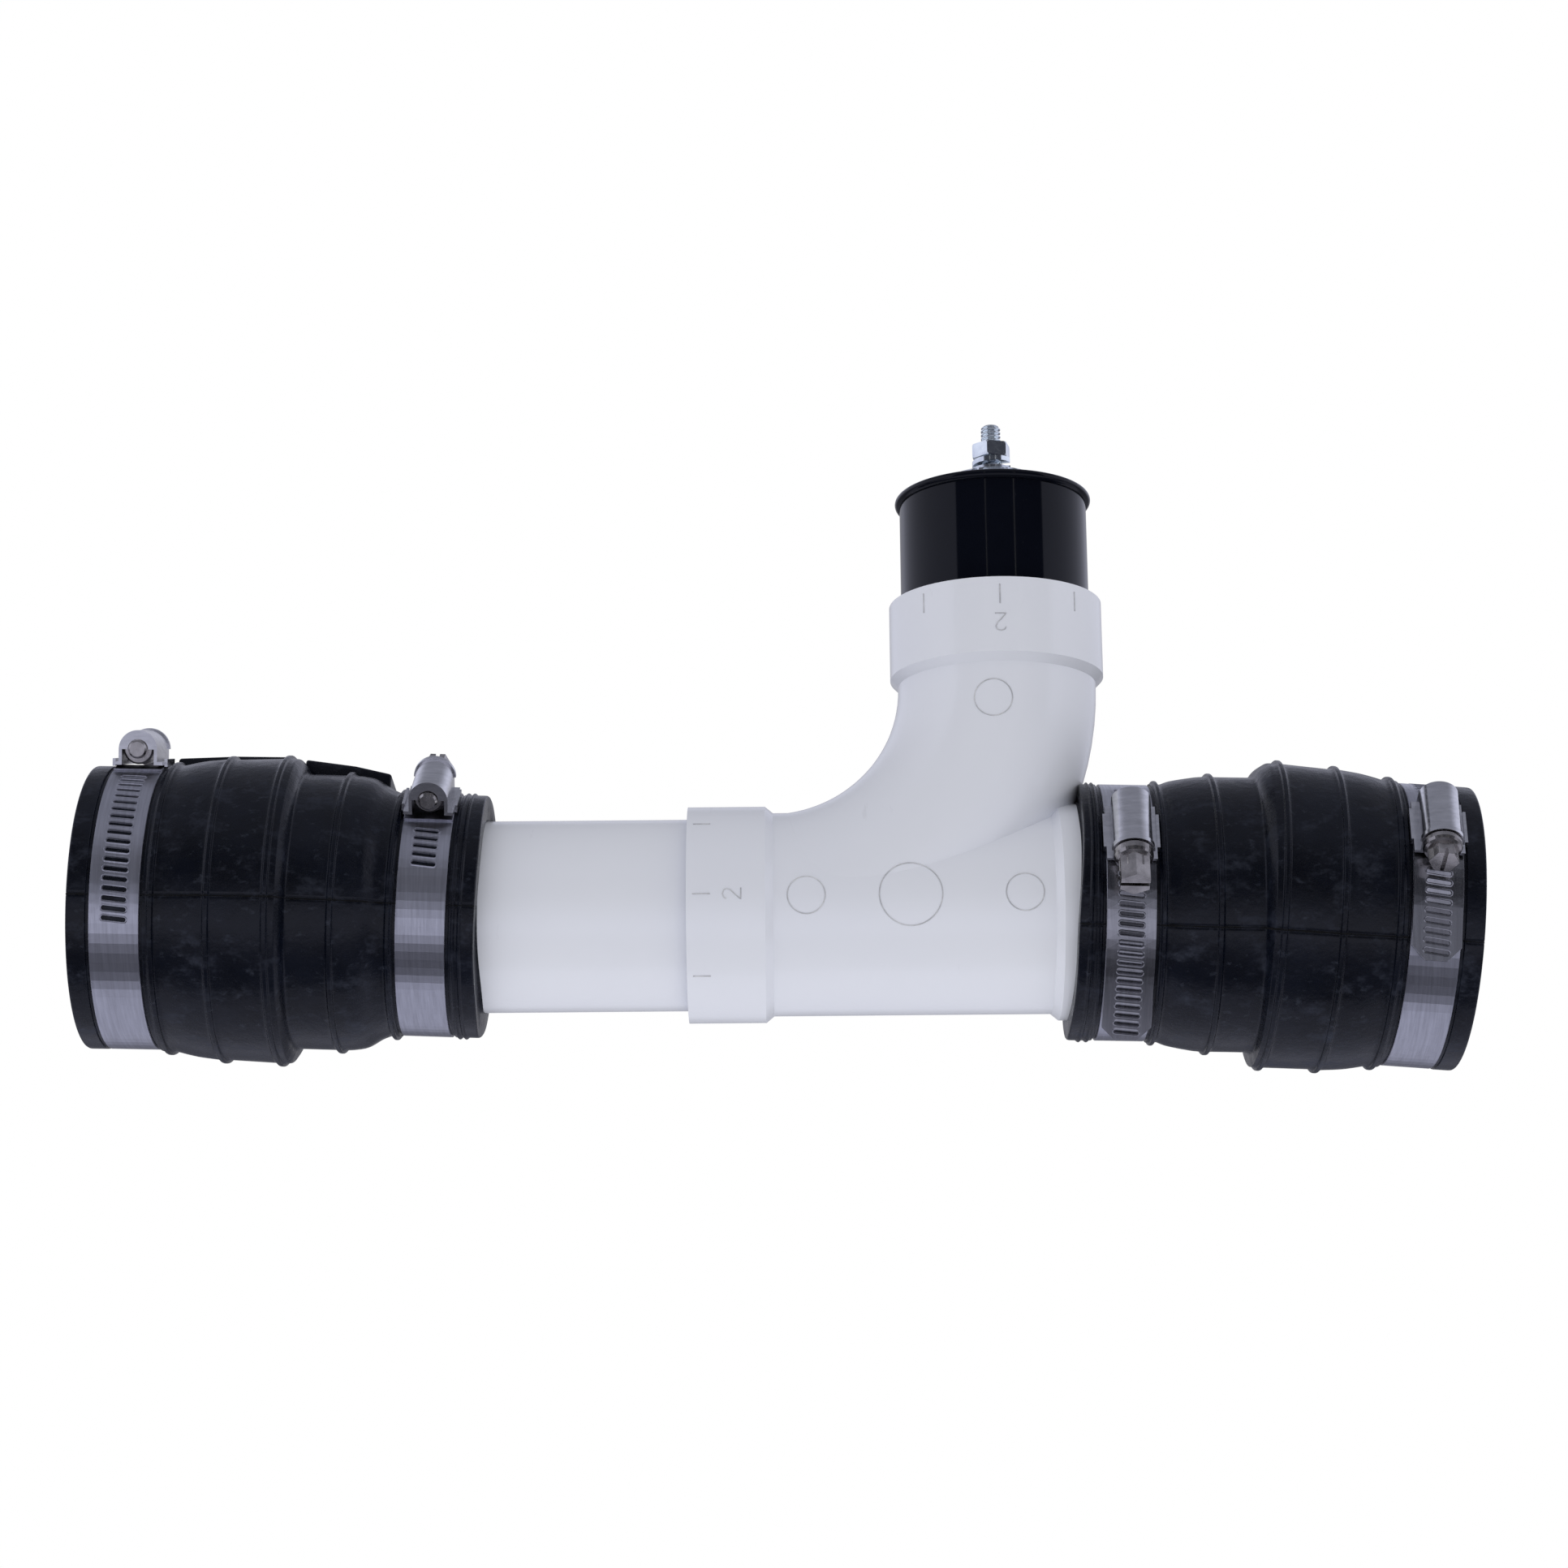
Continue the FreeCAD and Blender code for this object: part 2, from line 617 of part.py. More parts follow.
def build_band(label, seat_radius, tail, slotted):
    """A worm-drive band: one full turn, with its slotted free end lying over it."""
    thickness = size("band_thickness")
    inner = seat_radius + size("band_gap")
    lap = inner + thickness
    outer = lap + thickness
    width = size("band_width")
    body = new_body(label)

    hoop = circles(body, label + "_hoop", "YZ_Plane", [(0, 0, lap), (0, 0, inner)])
    pad(body, hoop, width)

    begin = degrees(size("housing_length") / 2 / outer)
    below = inner + thickness / 2

    def at(radius, angle):
        return (-radius * sine(angle), radius * cosine(angle))

    strip = outline(body, label + "_tail", "YZ_Plane", [
        at(outer, -begin),
        Arc(0, 0, clockwise=False),
        at(outer, tail),
        at(below, tail),
        Arc(0, 0, clockwise=True),
        at(below, -begin),
    ])
    tail_pad = pad(body, strip, width)
    doc.recompute()

    end = at(outer, tail)
    corner_edges = []
    for number, edge in enumerate(tail_pad.Shape.Edges, start=1):
        middle = edge.CenterOfMass
        reach = math.hypot(middle.y - end[0].value, middle.z - end[1].value)
        at_side = abs(abs(middle.x) - width.value / 2) < 0.01
        if at_side and reach < thickness.value and edge.Length < thickness.value * 1.5:
            corner_edges.append(f"Edge{number}")
    corners = body.newObject("PartDesign::Chamfer", label + "_corners")
    corners.Base = (tail_pad, corner_edges)
    bind(corners, Size=size("tail_corner"))

    step = degrees(size("slot_pitch") / outer)
    half = size("slot_width") / 2
    reach = size("slot_length") / 2 - half
    for side, span, depth in (
        (1, tail - begin - degrees(size("tail_corner") / outer), thickness + MARGIN),
        (-1, slotted - begin, thickness * 2 + MARGIN * 2),
    ):
        name = f"{label}_{'tail' if side > 0 else 'wrap'}_slot"
        first = (begin + step) * side
        slot = outline(body, name, "XY_Plane", [
            (-reach, -half),
            (reach, -half),
            Arc(reach, 0, clockwise=False),
            (reach, half),
            (-reach, half),
            Arc(-reach, 0, clockwise=False),
        ], [turn("X", first), move(z=outer + MARGIN), turn("Z", size("slot_slant"))])
        pocket = body.newObject("PartDesign::Pocket", name + "_cut")
        pocket.Profile = slot
        bind(pocket, Length=depth)
        doc.recompute()
        pattern = body.newObject("PartDesign::PolarPattern", name + "_row")
        pattern.Originals = [pocket]
        pattern.Axis = (origin_plane(body, "X_Axis"), [""])
        pattern.Reversed = side < 0
        count = Size(math.floor((span / step).value), f"floor({(span / step).text})")
        pattern.Occurrences = int(count.value)
        pattern.setExpression("Occurrences", count.text)
        bind(pattern, Angle=step * (count - 1))
        body.Tip = pattern
        doc.recompute()
    return body


def worm_height(seat_radius):
    """The screw's axis, from the pipe's."""
    lift = size("worm_diameter") / 2 + size("worm_gap") + size("band_gap")
    return seat_radius + size("band_thickness") * 2 + lift


def build_housing(label, seat_radius):
    """The stamped cover over the worm, with its ears, rolled rim and closed end."""
    axis = worm_height(seat_radius)
    inner = size("worm_diameter") / 2 + size("worm_gap")
    outer = inner + size("housing_wall")
    foot = axis - inner + size("housing_gap")
    flange = foot + size("housing_wall")
    side = size("band_width") / 2 + size("housing_gap")
    length = size("housing_length")
    root_radius = outer - size("rim_root")
    body = new_body(label)
    cover = outline(body, label + "_cover", "XZ_Plane", [
        (side, foot),
        (side, flange),
        (outer, flange),
        (outer, axis),
        Arc(0, axis, clockwise=False),
        (-outer, axis),
        (-outer, flange),
        (-side, flange),
        (-side, foot),
        (-inner, foot),
        (-inner, axis),
        Arc(0, axis, clockwise=True),
        (inner, axis),
        (inner, foot),
    ])
    pad(body, cover, length)
    for way in (-1, 1):
        bottom = seat_radius + size("ear_lift")
        top = bottom + size("ear_height")
        far = side + size("ear_thickness")
        name = f"{label}_ear_{'left' if way < 0 else 'right'}"
        near_edge, far_edge = (side, far) if way > 0 else (-far, -side)
        ear = outline(body, name, "XZ_Plane", [
            (near_edge, bottom),
            (far_edge, bottom),
            (far_edge, top),
            (near_edge, top),
        ])
        pad(body, ear, size("ear_length"))
    rim = outer + size("rim_rise")
    hem = outline(body, label + "_rim", "XZ_Plane", [
        (rim, axis),
        Arc(0, axis, clockwise=False),
        (-rim, axis),
        (-root_radius, axis),
        Arc(0, axis, clockwise=True),
        (root_radius, axis),
    ], [move(z=length / 2 - size("rim_length"))])
    pad(body, hem, size("rim_length"), symmetric=False)
    hole = size("tip_diameter") / 2 + size("worm_gap")
    end = outline(body, label + "_end", "XZ_Plane", [
        (root_radius, axis),
        Arc(0, axis, clockwise=False),
        (-root_radius, axis),
        (-hole, axis),
        Arc(0, axis, clockwise=True),
        (hole, axis),
    ], [move(z=-length / 2)])
    pad(body, end, size("housing_wall"), symmetric=False)
    return body


def build_screw(label, seat_radius):
    """The clamp screw: hexagon with a driver slot, collar, worm and tip."""
    axis = worm_height(seat_radius)
    half = size("housing_length") / 2
    collar_start = -half - size("worm_gap")
    hexagon_start = collar_start - size("collar_length")
    worm_stop = half - size("housing_wall") - size("worm_gap")
    worm = size("worm_diameter") / 2
    collar = size("collar_diameter") / 2
    tip = size("tip_diameter") / 2
    tip_stop = half + size("tip_length")
    edge = size("screw_edge")
    body = new_body(label)
    stem = outline(body, label + "_stem", "XY_Plane", [
        (0, hexagon_start),
        (collar - edge, hexagon_start),
        (collar, hexagon_start + edge),
        (collar, collar_start),
        (worm, collar_start),
        (worm, worm_stop - edge),
        (worm - edge, worm_stop),
        (tip, worm_stop),
        (tip, tip_stop - edge),
        (tip - edge, tip_stop),
        (0, tip_stop),
    ], [move(z=axis)])
    revolve(body, stem, "V_Axis")
    flat = size("screw_hexagon") / 2
    corner = flat / cosine(as_size(30))
    points = []
    for index in range(6):
        angle = as_size(60 * index)
        points.append((corner * cosine(angle), axis + corner * sine(angle)))
    head = outline(body, label + "_hexagon", "XZ_Plane", points, [move(z=-hexagon_start)])
    pad(body, head, size("screw_head_length"), symmetric=False)
    slot_half = size("screw_slot_width") / 2
    slot = outline(body, label + "_slot", "XZ_Plane", [
        (-slot_half, axis - corner - MARGIN),
        (slot_half, axis - corner - MARGIN),
        (slot_half, axis + corner + MARGIN),
        (-slot_half, axis + corner + MARGIN),
    ], [move(z=-hexagon_start + size("screw_head_length"))])
    pocket = body.newObject("PartDesign::Pocket", label + "_slot_cut")
    pocket.Profile = slot
    bind(pocket, Length=size("screw_slot_depth"))
    return body


def build_clamp(name, seat_radius, tail, slotted, steps):
    for piece in (
        build_band(name + "_band", seat_radius, tail, slotted),
        build_housing(name + "_housing", seat_radius),
        build_screw(name + "_screw", seat_radius),
    ):
        pose(piece, steps)
        nodes.append(piece)


TUBE_TOP = size("tube_top")
TUBE_FLOOR = size("branch_hub_reach") - size("socket_depth")
LEDGE = TUBE_TOP - size("ledge_depth")
SEAT_TOP = LEDGE + size("seat_thickness")
PLATE_TOP = SEAT_TOP + size("plate_thickness")
LAY_IN_RADIUS = PIPE_RADIUS - size("tube_wall") + size("ledge_width")
BOLT_RADIUS = size("bolt_diameter") / 2
BOSS_TOP = PLATE_TOP + size("dome_rise") + size("boss_rise")
WASHER_TOP = BOSS_TOP + size("lock_washer_thickness") + size("lock_washer_rise")
NUT_BOTTOM = WASHER_TOP + size("nut_seat_gap")
NUT_TOP = NUT_BOTTOM + size("nut_height")
BOLT_TOP = NUT_TOP + size("bolt_showing")
HEAD_TOP = BOLT_TOP - size("bolt_length")
SPRING_FLOOR = HEAD_TOP + size("retainer_thickness")
DISC_TOP = LEDGE - size("gasket_thickness")
DISC_BOTTOM = DISC_TOP - size("disc_thickness")


def build_tube():
    rim = size("tube_rim_radius")
    bore = PIPE_RADIUS - size("tube_wall")
    return turned("valve_tube", [
        (bore, TUBE_FLOOR),
        (PIPE_RADIUS, TUBE_FLOOR),
        (PIPE_RADIUS, TUBE_TOP - rim * 2),
        Arc(PIPE_RADIUS, TUBE_TOP - rim, clockwise=False),
        (PIPE_RADIUS, TUBE_TOP),
        (LAY_IN_RADIUS, TUBE_TOP),
        (LAY_IN_RADIUS, LEDGE),
        (bore, LEDGE),
    ])


def build_dome():
    """The vented plate: a shallow dome with a flat rim and a boss for the nut."""
    thickness = size("plate_thickness")
    rise = size("dome_rise")
    edge = size("dome_diameter") / 2
    radius = (edge * edge + rise * rise) / (rise * 2)
    centre = PLATE_TOP + rise - radius
    boss = size("boss_diameter") / 2
    hole = BOLT_RADIUS + size("hole_gap")
    rim = LAY_IN_RADIUS - size("lay_in_gap")
    under = edge - size("dome_step")
    below = PLATE_TOP - thickness
    under_radius = root(under * under + (below - centre) * (below - centre))
    body = new_body("vent_dome")
    shell = outline(body, "dome_shell", "XZ_Plane", [
        (hole, centre + root(under_radius * under_radius - hole * hole)),
        (hole, BOSS_TOP),
        (boss, BOSS_TOP),
        (boss, centre + root(radius * radius - boss * boss)),
        Arc(0, centre, clockwise=True),
        (edge, PLATE_TOP),
        (rim, PLATE_TOP),
        (rim, below),
        (under, below),
        Arc(0, centre, clockwise=False),
    ])
    revolve(body, shell, "V_Axis")
    half = size("vent_width") / 2
    start = size("vent_start")
    stop = size("vent_end")
    vent = outline(body, "vent", "XY_Plane", [
        (start, -half),
        (stop, -half),
        Arc(stop, 0, clockwise=False),
        (stop, half),
        (start, half),
        Arc(start, 0, clockwise=False),
    ], [move(z=BOSS_TOP + MARGIN)])
    pocket = body.newObject("PartDesign::Pocket", "vent_cut")
    pocket.Profile = vent
    bind(pocket, Length=BOSS_TOP - below + MARGIN * 2)
    doc.recompute()
    pattern = body.newObject("PartDesign::PolarPattern", "vents")
    pattern.Originals = [pocket]
    pattern.Axis = (origin_plane(body, "Z_Axis"), [""])
    pattern.Angle = 360
    pattern.Occurrences = int(size("vent_count").value)
    pattern.setExpression("Occurrences", size("vent_count").text)
    body.Tip = pattern
    return body


def hexagon_bar(name, flats, bottom, top, angle):
    """A hexagonal prism with its corners rounded off, as on nuts and bolt heads."""
    prism = doc.addObject("Part::Prism", name + "_prism")
    prism.Polygon = 6
    half = (top - bottom) / 2
    circumradius = flats / 2 / cosine(as_size(30))
    bind(prism, Circumradius=circumradius, Height=top - bottom)
    pose(prism, [move(z=bottom), turn("Z", angle)])
    ball = doc.addObject("Part::Sphere", name + "_ball")
    bind(ball, Radius=root(circumradius * circumradius + half * half) - size("corner_rounding"))
    pose(ball, [move(z=bottom + half)])
    shared = doc.addObject("Part::Common", name + "_hexagon")
    shared.Base = prism
    shared.Tool = ball
    return shared


def build_bolt():
    head = hexagon_bar("bolt_head", size("nut_flats"), HEAD_TOP - size("bolt_head_height"),
                       HEAD_TOP, as_size(0))
    point_start = BOLT_TOP - size("bolt_point")
    shank = rod("bolt_shank", "Z", HEAD_TOP - MARGIN, point_start, BOLT_RADIUS)
    point = rod("bolt_point", "Z", point_start, BOLT_TOP, BOLT_RADIUS,
                BOLT_RADIUS - size("bolt_point"))
    bolt = fuse("valve_bolt", [head, shank, point])
    bolt.Label = "valve_bolt"
    return bolt


def build_nut():
    block = hexagon_bar("nut_block", size("nut_flats"), NUT_BOTTOM, NUT_TOP,
                        size("nut_angle"))
    hole = rod("nut_hole", "Z", NUT_BOTTOM - MARGIN, NUT_TOP + MARGIN,
               BOLT_RADIUS + size("thread_gap"))
    return cut("adjusting_nut", block, hole)


def build_helix(label, section, height, turns):
    """A section swept along a helix about the valve's axis."""
    body = new_body(label)
    sketch = section(body)
    helix = body.newObject("PartDesign::AdditiveHelix", label + "_helix")
    helix.Profile = sketch
    helix.ReferenceAxis = (sketch, ["V_Axis"])
    helix.Mode = "height-turns-angle"
    bind(helix, Height=height, Turns=turns)
    return body


def lock_washer_section(body):
    bottom = BOSS_TOP + size("nut_seat_gap") / 2
    top = bottom + size("lock_washer_thickness")
    outside = size("lock_washer_diameter") / 2
    inside = BOLT_RADIUS + size("hole_gap")
    corners = [(inside, bottom), (outside, bottom), (outside, top), (inside, top)]
    return outline(body, "lock_washer_section", "XZ_Plane", corners)


def wire_section(body):
    wire = size("spring_wire") / 2
    middle = size("spring_diameter") / 2 - wire
    height = SPRING_FLOOR + wire + size("spring_gap")
    corner = wire / cosine(as_size(22.5))
    corners = []
    for index in range(8):
        angle = as_size(22.5 + 45 * index)
        corners.append((middle + corner * cosine(angle), height + corner * sine(angle)))
    return outline(body, "spring_section", "XZ_Plane", corners)


def build_valve():
    """The relief valve proper, from the tube in the branch hub to its nut."""
    spring_height = (DISC_BOTTOM - SPRING_FLOOR - size("spring_wire")
                     - size("spring_gap") * 2)
    bush_bore = BOLT_RADIUS + size("bush_gap")
    bush = size("bush_diameter") / 2
    flange = bush + size("bush_flange_width")
    pieces = [
        build_tube(),
        washer("seat_ring", size("seat_bore") / 2, LAY_IN_RADIUS - size("lay_in_gap"),
               LEDGE, SEAT_TOP),
        build_dome(),
        build_bolt(),
        washer("spring_retainer", BOLT_RADIUS + size("hole_gap"),
               size("retainer_diameter") / 2, HEAD_TOP, SPRING_FLOOR),
        build_helix("valve_spring", wire_section, spring_height, size("spring_turns")),
        washer("valve_disc", bush, size("disc_diameter") / 2, DISC_BOTTOM, DISC_TOP),
        washer("disc_gasket", flange, size("gasket_diameter") / 2, DISC_TOP, LEDGE),
        turned("disc_bush", [
            (bush_bore, DISC_BOTTOM - size("bush_length")),
            (bush, DISC_BOTTOM - size("bush_length")),
            (bush, DISC_TOP),
            (flange, DISC_TOP),
            (flange, DISC_TOP + size("bush_flange")),
            (bush_bore, DISC_TOP + size("bush_flange")),
        ]),
        build_helix("lock_washer", lock_washer_section, size("lock_washer_rise"),
                    size("lock_washer_turn")),
        build_nut(),
    ]
    for piece in pieces:
        pose(piece, [RUN, move(x=BRANCH)])
        nodes.append(piece)


nodes = [build_fitting(), build_stub()]


ON_INLET = turn("Y", size("inlet_tilt"))
ON_OUTLET = [
    RUN,
    move(x=OUTLET_RUBBER),
    turn("Y", -size("outlet_tilt")),
    move(x=OUTLET_TAIL),
]
INLET_GRIP = PIPE_RADIUS + size("socket_gap")
OUTLET_GRIP = HUB_RADIUS + size("socket_gap")
nodes.append(build_coupling("inlet_coupling", INLET_TAIL, 2, size("inlet_tilt"),
                            size("inlet_lean"), size("inlet_bar_angle"), INLET_GRIP,
                            size("inlet_grip_wall"), [ON_INLET, turn("Z", 180)]))
nodes.append(build_coupling("outlet_coupling", OUTLET_TAIL, 1, size("outlet_tilt"),
                            size("outlet_lean"), -size("outlet_bar_angle"), OUTLET_GRIP,
                            size("outlet_grip_wall"), ON_OUTLET))

PORT_SEAT = size("port_diameter") / 2 + size("port_wall")
PORT_BAND = HALF - size("mouth_lip_length") - size("band_seat_length") / 2
GRIP_BAND = size("clamp_rib_place") + size("rib_radius") + size("band_seat_length") / 2

# At the inlet the screw heads point to the back, at the outlet to the front.
build_clamp("inlet_port_clamp", PORT_SEAT, size("inlet_port_tail"), size("inlet_port_slotted"), [
    ON_INLET,
    turn("Y", size("inlet_lean")),
    move(x=-PORT_BAND),
    turn("X", size("inlet_port_clamp_angle")),
    turn("Z", 180),
])
build_clamp("inlet_pipe_clamp", INLET_GRIP + size("inlet_grip_wall"),
            size("inlet_pipe_tail"), size("inlet_pipe_slotted"), [
                ON_INLET,
                move(x=GRIP_BAND),
                turn("X", size("inlet_pipe_clamp_angle")),
                turn("Z", 180),
            ])
build_clamp("outlet_hub_clamp", OUTLET_GRIP + size("outlet_grip_wall"),
            size("outlet_hub_tail"), size("outlet_hub_slotted"), [
                *ON_OUTLET,
                move(x=-GRIP_BAND),
                turn("X", size("outlet_hub_clamp_angle")),
            ])
build_clamp("outlet_port_clamp", PORT_SEAT, size("outlet_port_tail"), size("outlet_port_slotted"), [
    *ON_OUTLET,
    turn("Y", -size("outlet_lean")),
    move(x=PORT_BAND),
    turn("X", size("outlet_port_clamp_angle")),
])

build_valve()
doc.recompute()

for feature in doc.Objects:
    if "Invalid" in feature.State or "Error" in feature.State:
        raise RuntimeError(f"{feature.Label} failed: {feature.State}")
for node in nodes:
    if node.Shape.isNull() or not node.Shape.isValid():
        raise RuntimeError(f"{node.Label} has no valid shape")
    if len(node.Shape.Solids) != 1:
        raise RuntimeError(f"{node.Label} is {len(node.Shape.Solids)} solids")

os.makedirs("parts", exist_ok=True)
for node in nodes:
    node.Shape.exportStep(f"parts/{node.Label}.step")
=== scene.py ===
import math

import bmesh
import bpy
from mathutils import Matrix, Vector, noise


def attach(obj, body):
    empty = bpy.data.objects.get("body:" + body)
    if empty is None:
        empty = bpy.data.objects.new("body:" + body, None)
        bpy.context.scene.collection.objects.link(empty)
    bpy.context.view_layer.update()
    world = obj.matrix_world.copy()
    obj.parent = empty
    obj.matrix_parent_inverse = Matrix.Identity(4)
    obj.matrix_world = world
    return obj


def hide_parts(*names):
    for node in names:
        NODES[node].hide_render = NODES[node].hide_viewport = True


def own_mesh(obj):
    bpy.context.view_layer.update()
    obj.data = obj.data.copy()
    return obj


# The looks of the vacuum relief valve. Every size here is in millimetres, as in the CAD
# source, and MM turns it into metres. X runs along the line, Z points up the branch.

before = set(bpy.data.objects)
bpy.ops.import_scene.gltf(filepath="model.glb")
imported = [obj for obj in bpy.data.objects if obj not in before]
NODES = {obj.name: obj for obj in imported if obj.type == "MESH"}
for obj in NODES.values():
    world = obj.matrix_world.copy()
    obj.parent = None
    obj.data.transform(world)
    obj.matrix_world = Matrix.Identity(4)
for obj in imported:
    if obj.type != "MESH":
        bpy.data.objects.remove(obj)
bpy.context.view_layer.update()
MM = 0.001
FULL_TURN = math.tau

# Sizes shared with the CAD source. The run's axis lies a little below the origin.
RUN_Z = -2.655
RUN_RADIUS = 32.0
HUB_RADIUS = 34.05
BRANCH_X = 224.0
SWEEP_RADIUS = 73.3
SWEPT_RADIUS = 31.6
OUTLET_TAIL_X = 249.3
BOLT_TOP = 159.175
BOLT_LENGTH = 69.85
BOLT_RADIUS = 3.175
THREAD_PITCH = 1.27
SPRING_BOTTOM = 90.975

# The spring ends below the disc, so that it never cuts the disc when the bolt rises.
SPRING_TOP = 123.7


def node_tree(name):
    """A new material, its node tree and its Principled shader."""
    material = bpy.data.materials.new(name)
    material.use_nodes = True
    tree = material.node_tree
    return material, tree, tree.nodes["Principled BSDF"]


def add(tree, kind, **values):
    """A node with some of its properties and inputs set."""
    made = tree.nodes.new(kind)
    for name, value in values.items():
        if name in made.inputs:
            made.inputs[name].default_value = value
        else:
            setattr(made, name, value)
    return made


def place(tree, stretch=(1, 1, 1)):
    """Object coordinates, stretched: the pattern stays on the piece as it moves."""
    where = add(tree, "ShaderNodeTexCoord")
    mapping = add(tree, "ShaderNodeMapping", Scale=stretch)
    tree.links.new(where.outputs["Object"], mapping.inputs["Vector"])
    return mapping.outputs["Vector"]


def grain(tree, scale, detail=4.0, roughness=0.6, stretch=(1, 1, 1)):
    """Noise of a given scale per metre."""
    made = add(tree, "ShaderNodeTexNoise", Scale=scale, Detail=detail, Roughness=roughness)
    tree.links.new(place(tree, stretch), made.inputs["Vector"])
    return made.outputs["Fac"]


def ramp(tree, value, stops):
    """A colour or grey for a value, from stops of (position, colour)."""
    made = add(tree, "ShaderNodeValToRGB")
    tree.links.new(value, made.inputs["Fac"])
    elements = made.color_ramp.elements
    elements.remove(elements[1])
    for number, (where, colour) in enumerate(stops):
        element = elements.new(where) if number else elements[0]
        element.position = where
        element.color = (colour, colour, colour, 1) if isinstance(colour, float) else (*colour, 1)
    return made.outputs["Color"]


def mixed(tree, share, first, second):
    """One colour over another, by a share that a texture gives."""
    made = add(tree, "ShaderNodeMix", data_type="RGBA")
    tree.links.new(share, made.inputs["Factor"])
    for name, colour in (("A", first), ("B", second)):
        socket = [s for s in made.inputs if s.name == name and s.type == "RGBA"][0]
        if isinstance(colour, tuple):
            socket.default_value = (*colour, 1)
        else:
            tree.links.new(colour, socket)
    return [s for s in made.outputs if s.type == "RGBA"][0]


def bump(tree, shader, layers):
    """Relief from several textures, each with its depth in millimetres."""
    normal = None
    for value, depth in layers:
        made = add(tree, "ShaderNodeBump", Strength=1.0, Distance=depth * MM)
        tree.links.new(value, made.inputs["Height"])
        if normal is not None:
            tree.links.new(normal, made.inputs["Normal"])
        normal = made.outputs["Normal"]
    tree.links.new(normal, shader.inputs["Normal"])


def white_pvc():
    material, tree, shader = node_tree("white_pvc")
    tone = ramp(tree, grain(tree, 14), [(0.3, (0.745, 0.765, 0.855)), (0.7, (0.765, 0.785, 0.87))])
    scuffs = ramp(tree, grain(tree, 320, stretch=(1, 0.2, 0.2)), [(0.70, 0.0), (0.76, 0.3)])
    tree.links.new(mixed(tree, scuffs, tone, (0.62, 0.63, 0.71)), shader.inputs["Base Color"])
    gloss = ramp(tree, grain(tree, 60), [(0.3, 0.16), (0.7, 0.22)])
    tree.links.new(gloss, shader.inputs["Roughness"])
    shader.inputs["Specular IOR Level"].default_value = 0.6
    bump(tree, shader, [(grain(tree, 16, detail=2.0), 0.05), (grain(tree, 1100), 0.002)])
    return material


def pvc_mark_painted_shade():
    """The mould's marks, drawn darker than the fitting: painted shade of their small raised steps."""
    material, tree, shader = node_tree("pvc_mark_painted_shade")
    tone = ramp(tree, grain(tree, 220), [(0.35, (0.42, 0.43, 0.47)), (0.65, (0.66, 0.67, 0.71))])
    tree.links.new(tone, shader.inputs["Base Color"])
    shader.inputs["Roughness"].default_value = 0.3
    return material


def black_rubber():
    material, tree, shader = node_tree("black_rubber")
    tone = ramp(tree, grain(tree, 60),
                [(0.35, (0.0016, 0.0024, 0.0060)), (0.7, (0.0036, 0.0052, 0.0115))])
    worn = grain(tree, 85, detail=10.0, roughness=0.76, stretch=(0.8, 1.2, 1.4))
    smears = ramp(tree, worn, [(0.53, 0.0), (0.61, 0.4), (0.72, 1.0)])
    scuffed = mixed(tree, smears, tone, (0.022, 0.027, 0.045))
    scored = grain(tree, 260, detail=8.0, stretch=(1.0, 1.2, 1.5))
    scratches = ramp(tree, scored, [(0.60, 0.0), (0.76, 0.6)])
    tree.links.new(mixed(tree, scratches, scuffed, (0.034, 0.040, 0.060)), shader.inputs["Base Color"])
    gloss = ramp(tree, worn, [(0.35, 0.20), (0.55, 0.30), (0.70, 0.55)])
    tree.links.new(gloss, shader.inputs["Roughness"])
    shader.inputs["Specular IOR Level"].default_value = 0.28
    bump(tree, shader, [(grain(tree, 45, detail=5.0), 0.30), (grain(tree, 300, detail=6.0), 0.16),
                        (grain(tree, 2200), 0.012)])
    return material


def black_tube():
    material, tree, shader = node_tree("black_tube")
    tone = ramp(tree, grain(tree, 40),
                [(0.3, (0.0018, 0.0024, 0.0052)), (0.7, (0.0028, 0.0036, 0.0075))])
    specks = ramp(tree, grain(tree, 1500, detail=2.0), [(0.80, 0.0), (0.82, 0.8)])
    tree.links.new(mixed(tree, specks, tone, (0.5, 0.5, 0.55)), shader.inputs["Base Color"])
    gloss = ramp(tree, grain(tree, 120), [(0.3, 0.05), (0.7, 0.08)])
    shader.inputs["Specular IOR Level"].default_value = 0.2
    tree.links.new(gloss, shader.inputs["Roughness"])
    bump(tree, shader, [(grain(tree, 25, detail=2.0), 0.05), (grain(tree, 600), 0.002)])
    return material


def metal(name, colour, rough, streaks=(1, 1, 1), streak_depth=0.004, worn=0.12, brushed=False):
    """Bare or plated metal, with marks drawn out along one direction and uneven gloss."""
    material, tree, shader = node_tree(name)
    shader.inputs["Metallic"].default_value = 1.0
    if brushed:
        shader.inputs["Anisotropic"].default_value = 0.9
        shader.inputs["Anisotropic Rotation"].default_value = 0.25
        around = add(tree, "ShaderNodeTangent", direction_type="RADIAL", axis="X")
        tree.links.new(around.outputs["Tangent"], shader.inputs["Tangent"])
    darker = tuple(c * (1 - worn) for c in colour)
    lighter = tuple(min(1.0, c * (1 + worn * 0.6)) for c in colour)
    tone = ramp(tree, grain(tree, 160, stretch=streaks), [(0.35, darker), (0.65, lighter)])
    tree.links.new(tone, shader.inputs["Base Color"])
    gloss = ramp(tree, grain(tree, 420, stretch=streaks), [(0.3, rough * 0.8), (0.7, rough * 1.25)])
    tree.links.new(gloss, shader.inputs["Roughness"])
    bump(tree, shader, [(grain(tree, 900, stretch=streaks), streak_depth),
                        (grain(tree, 80), streak_depth * 2)])
    return material


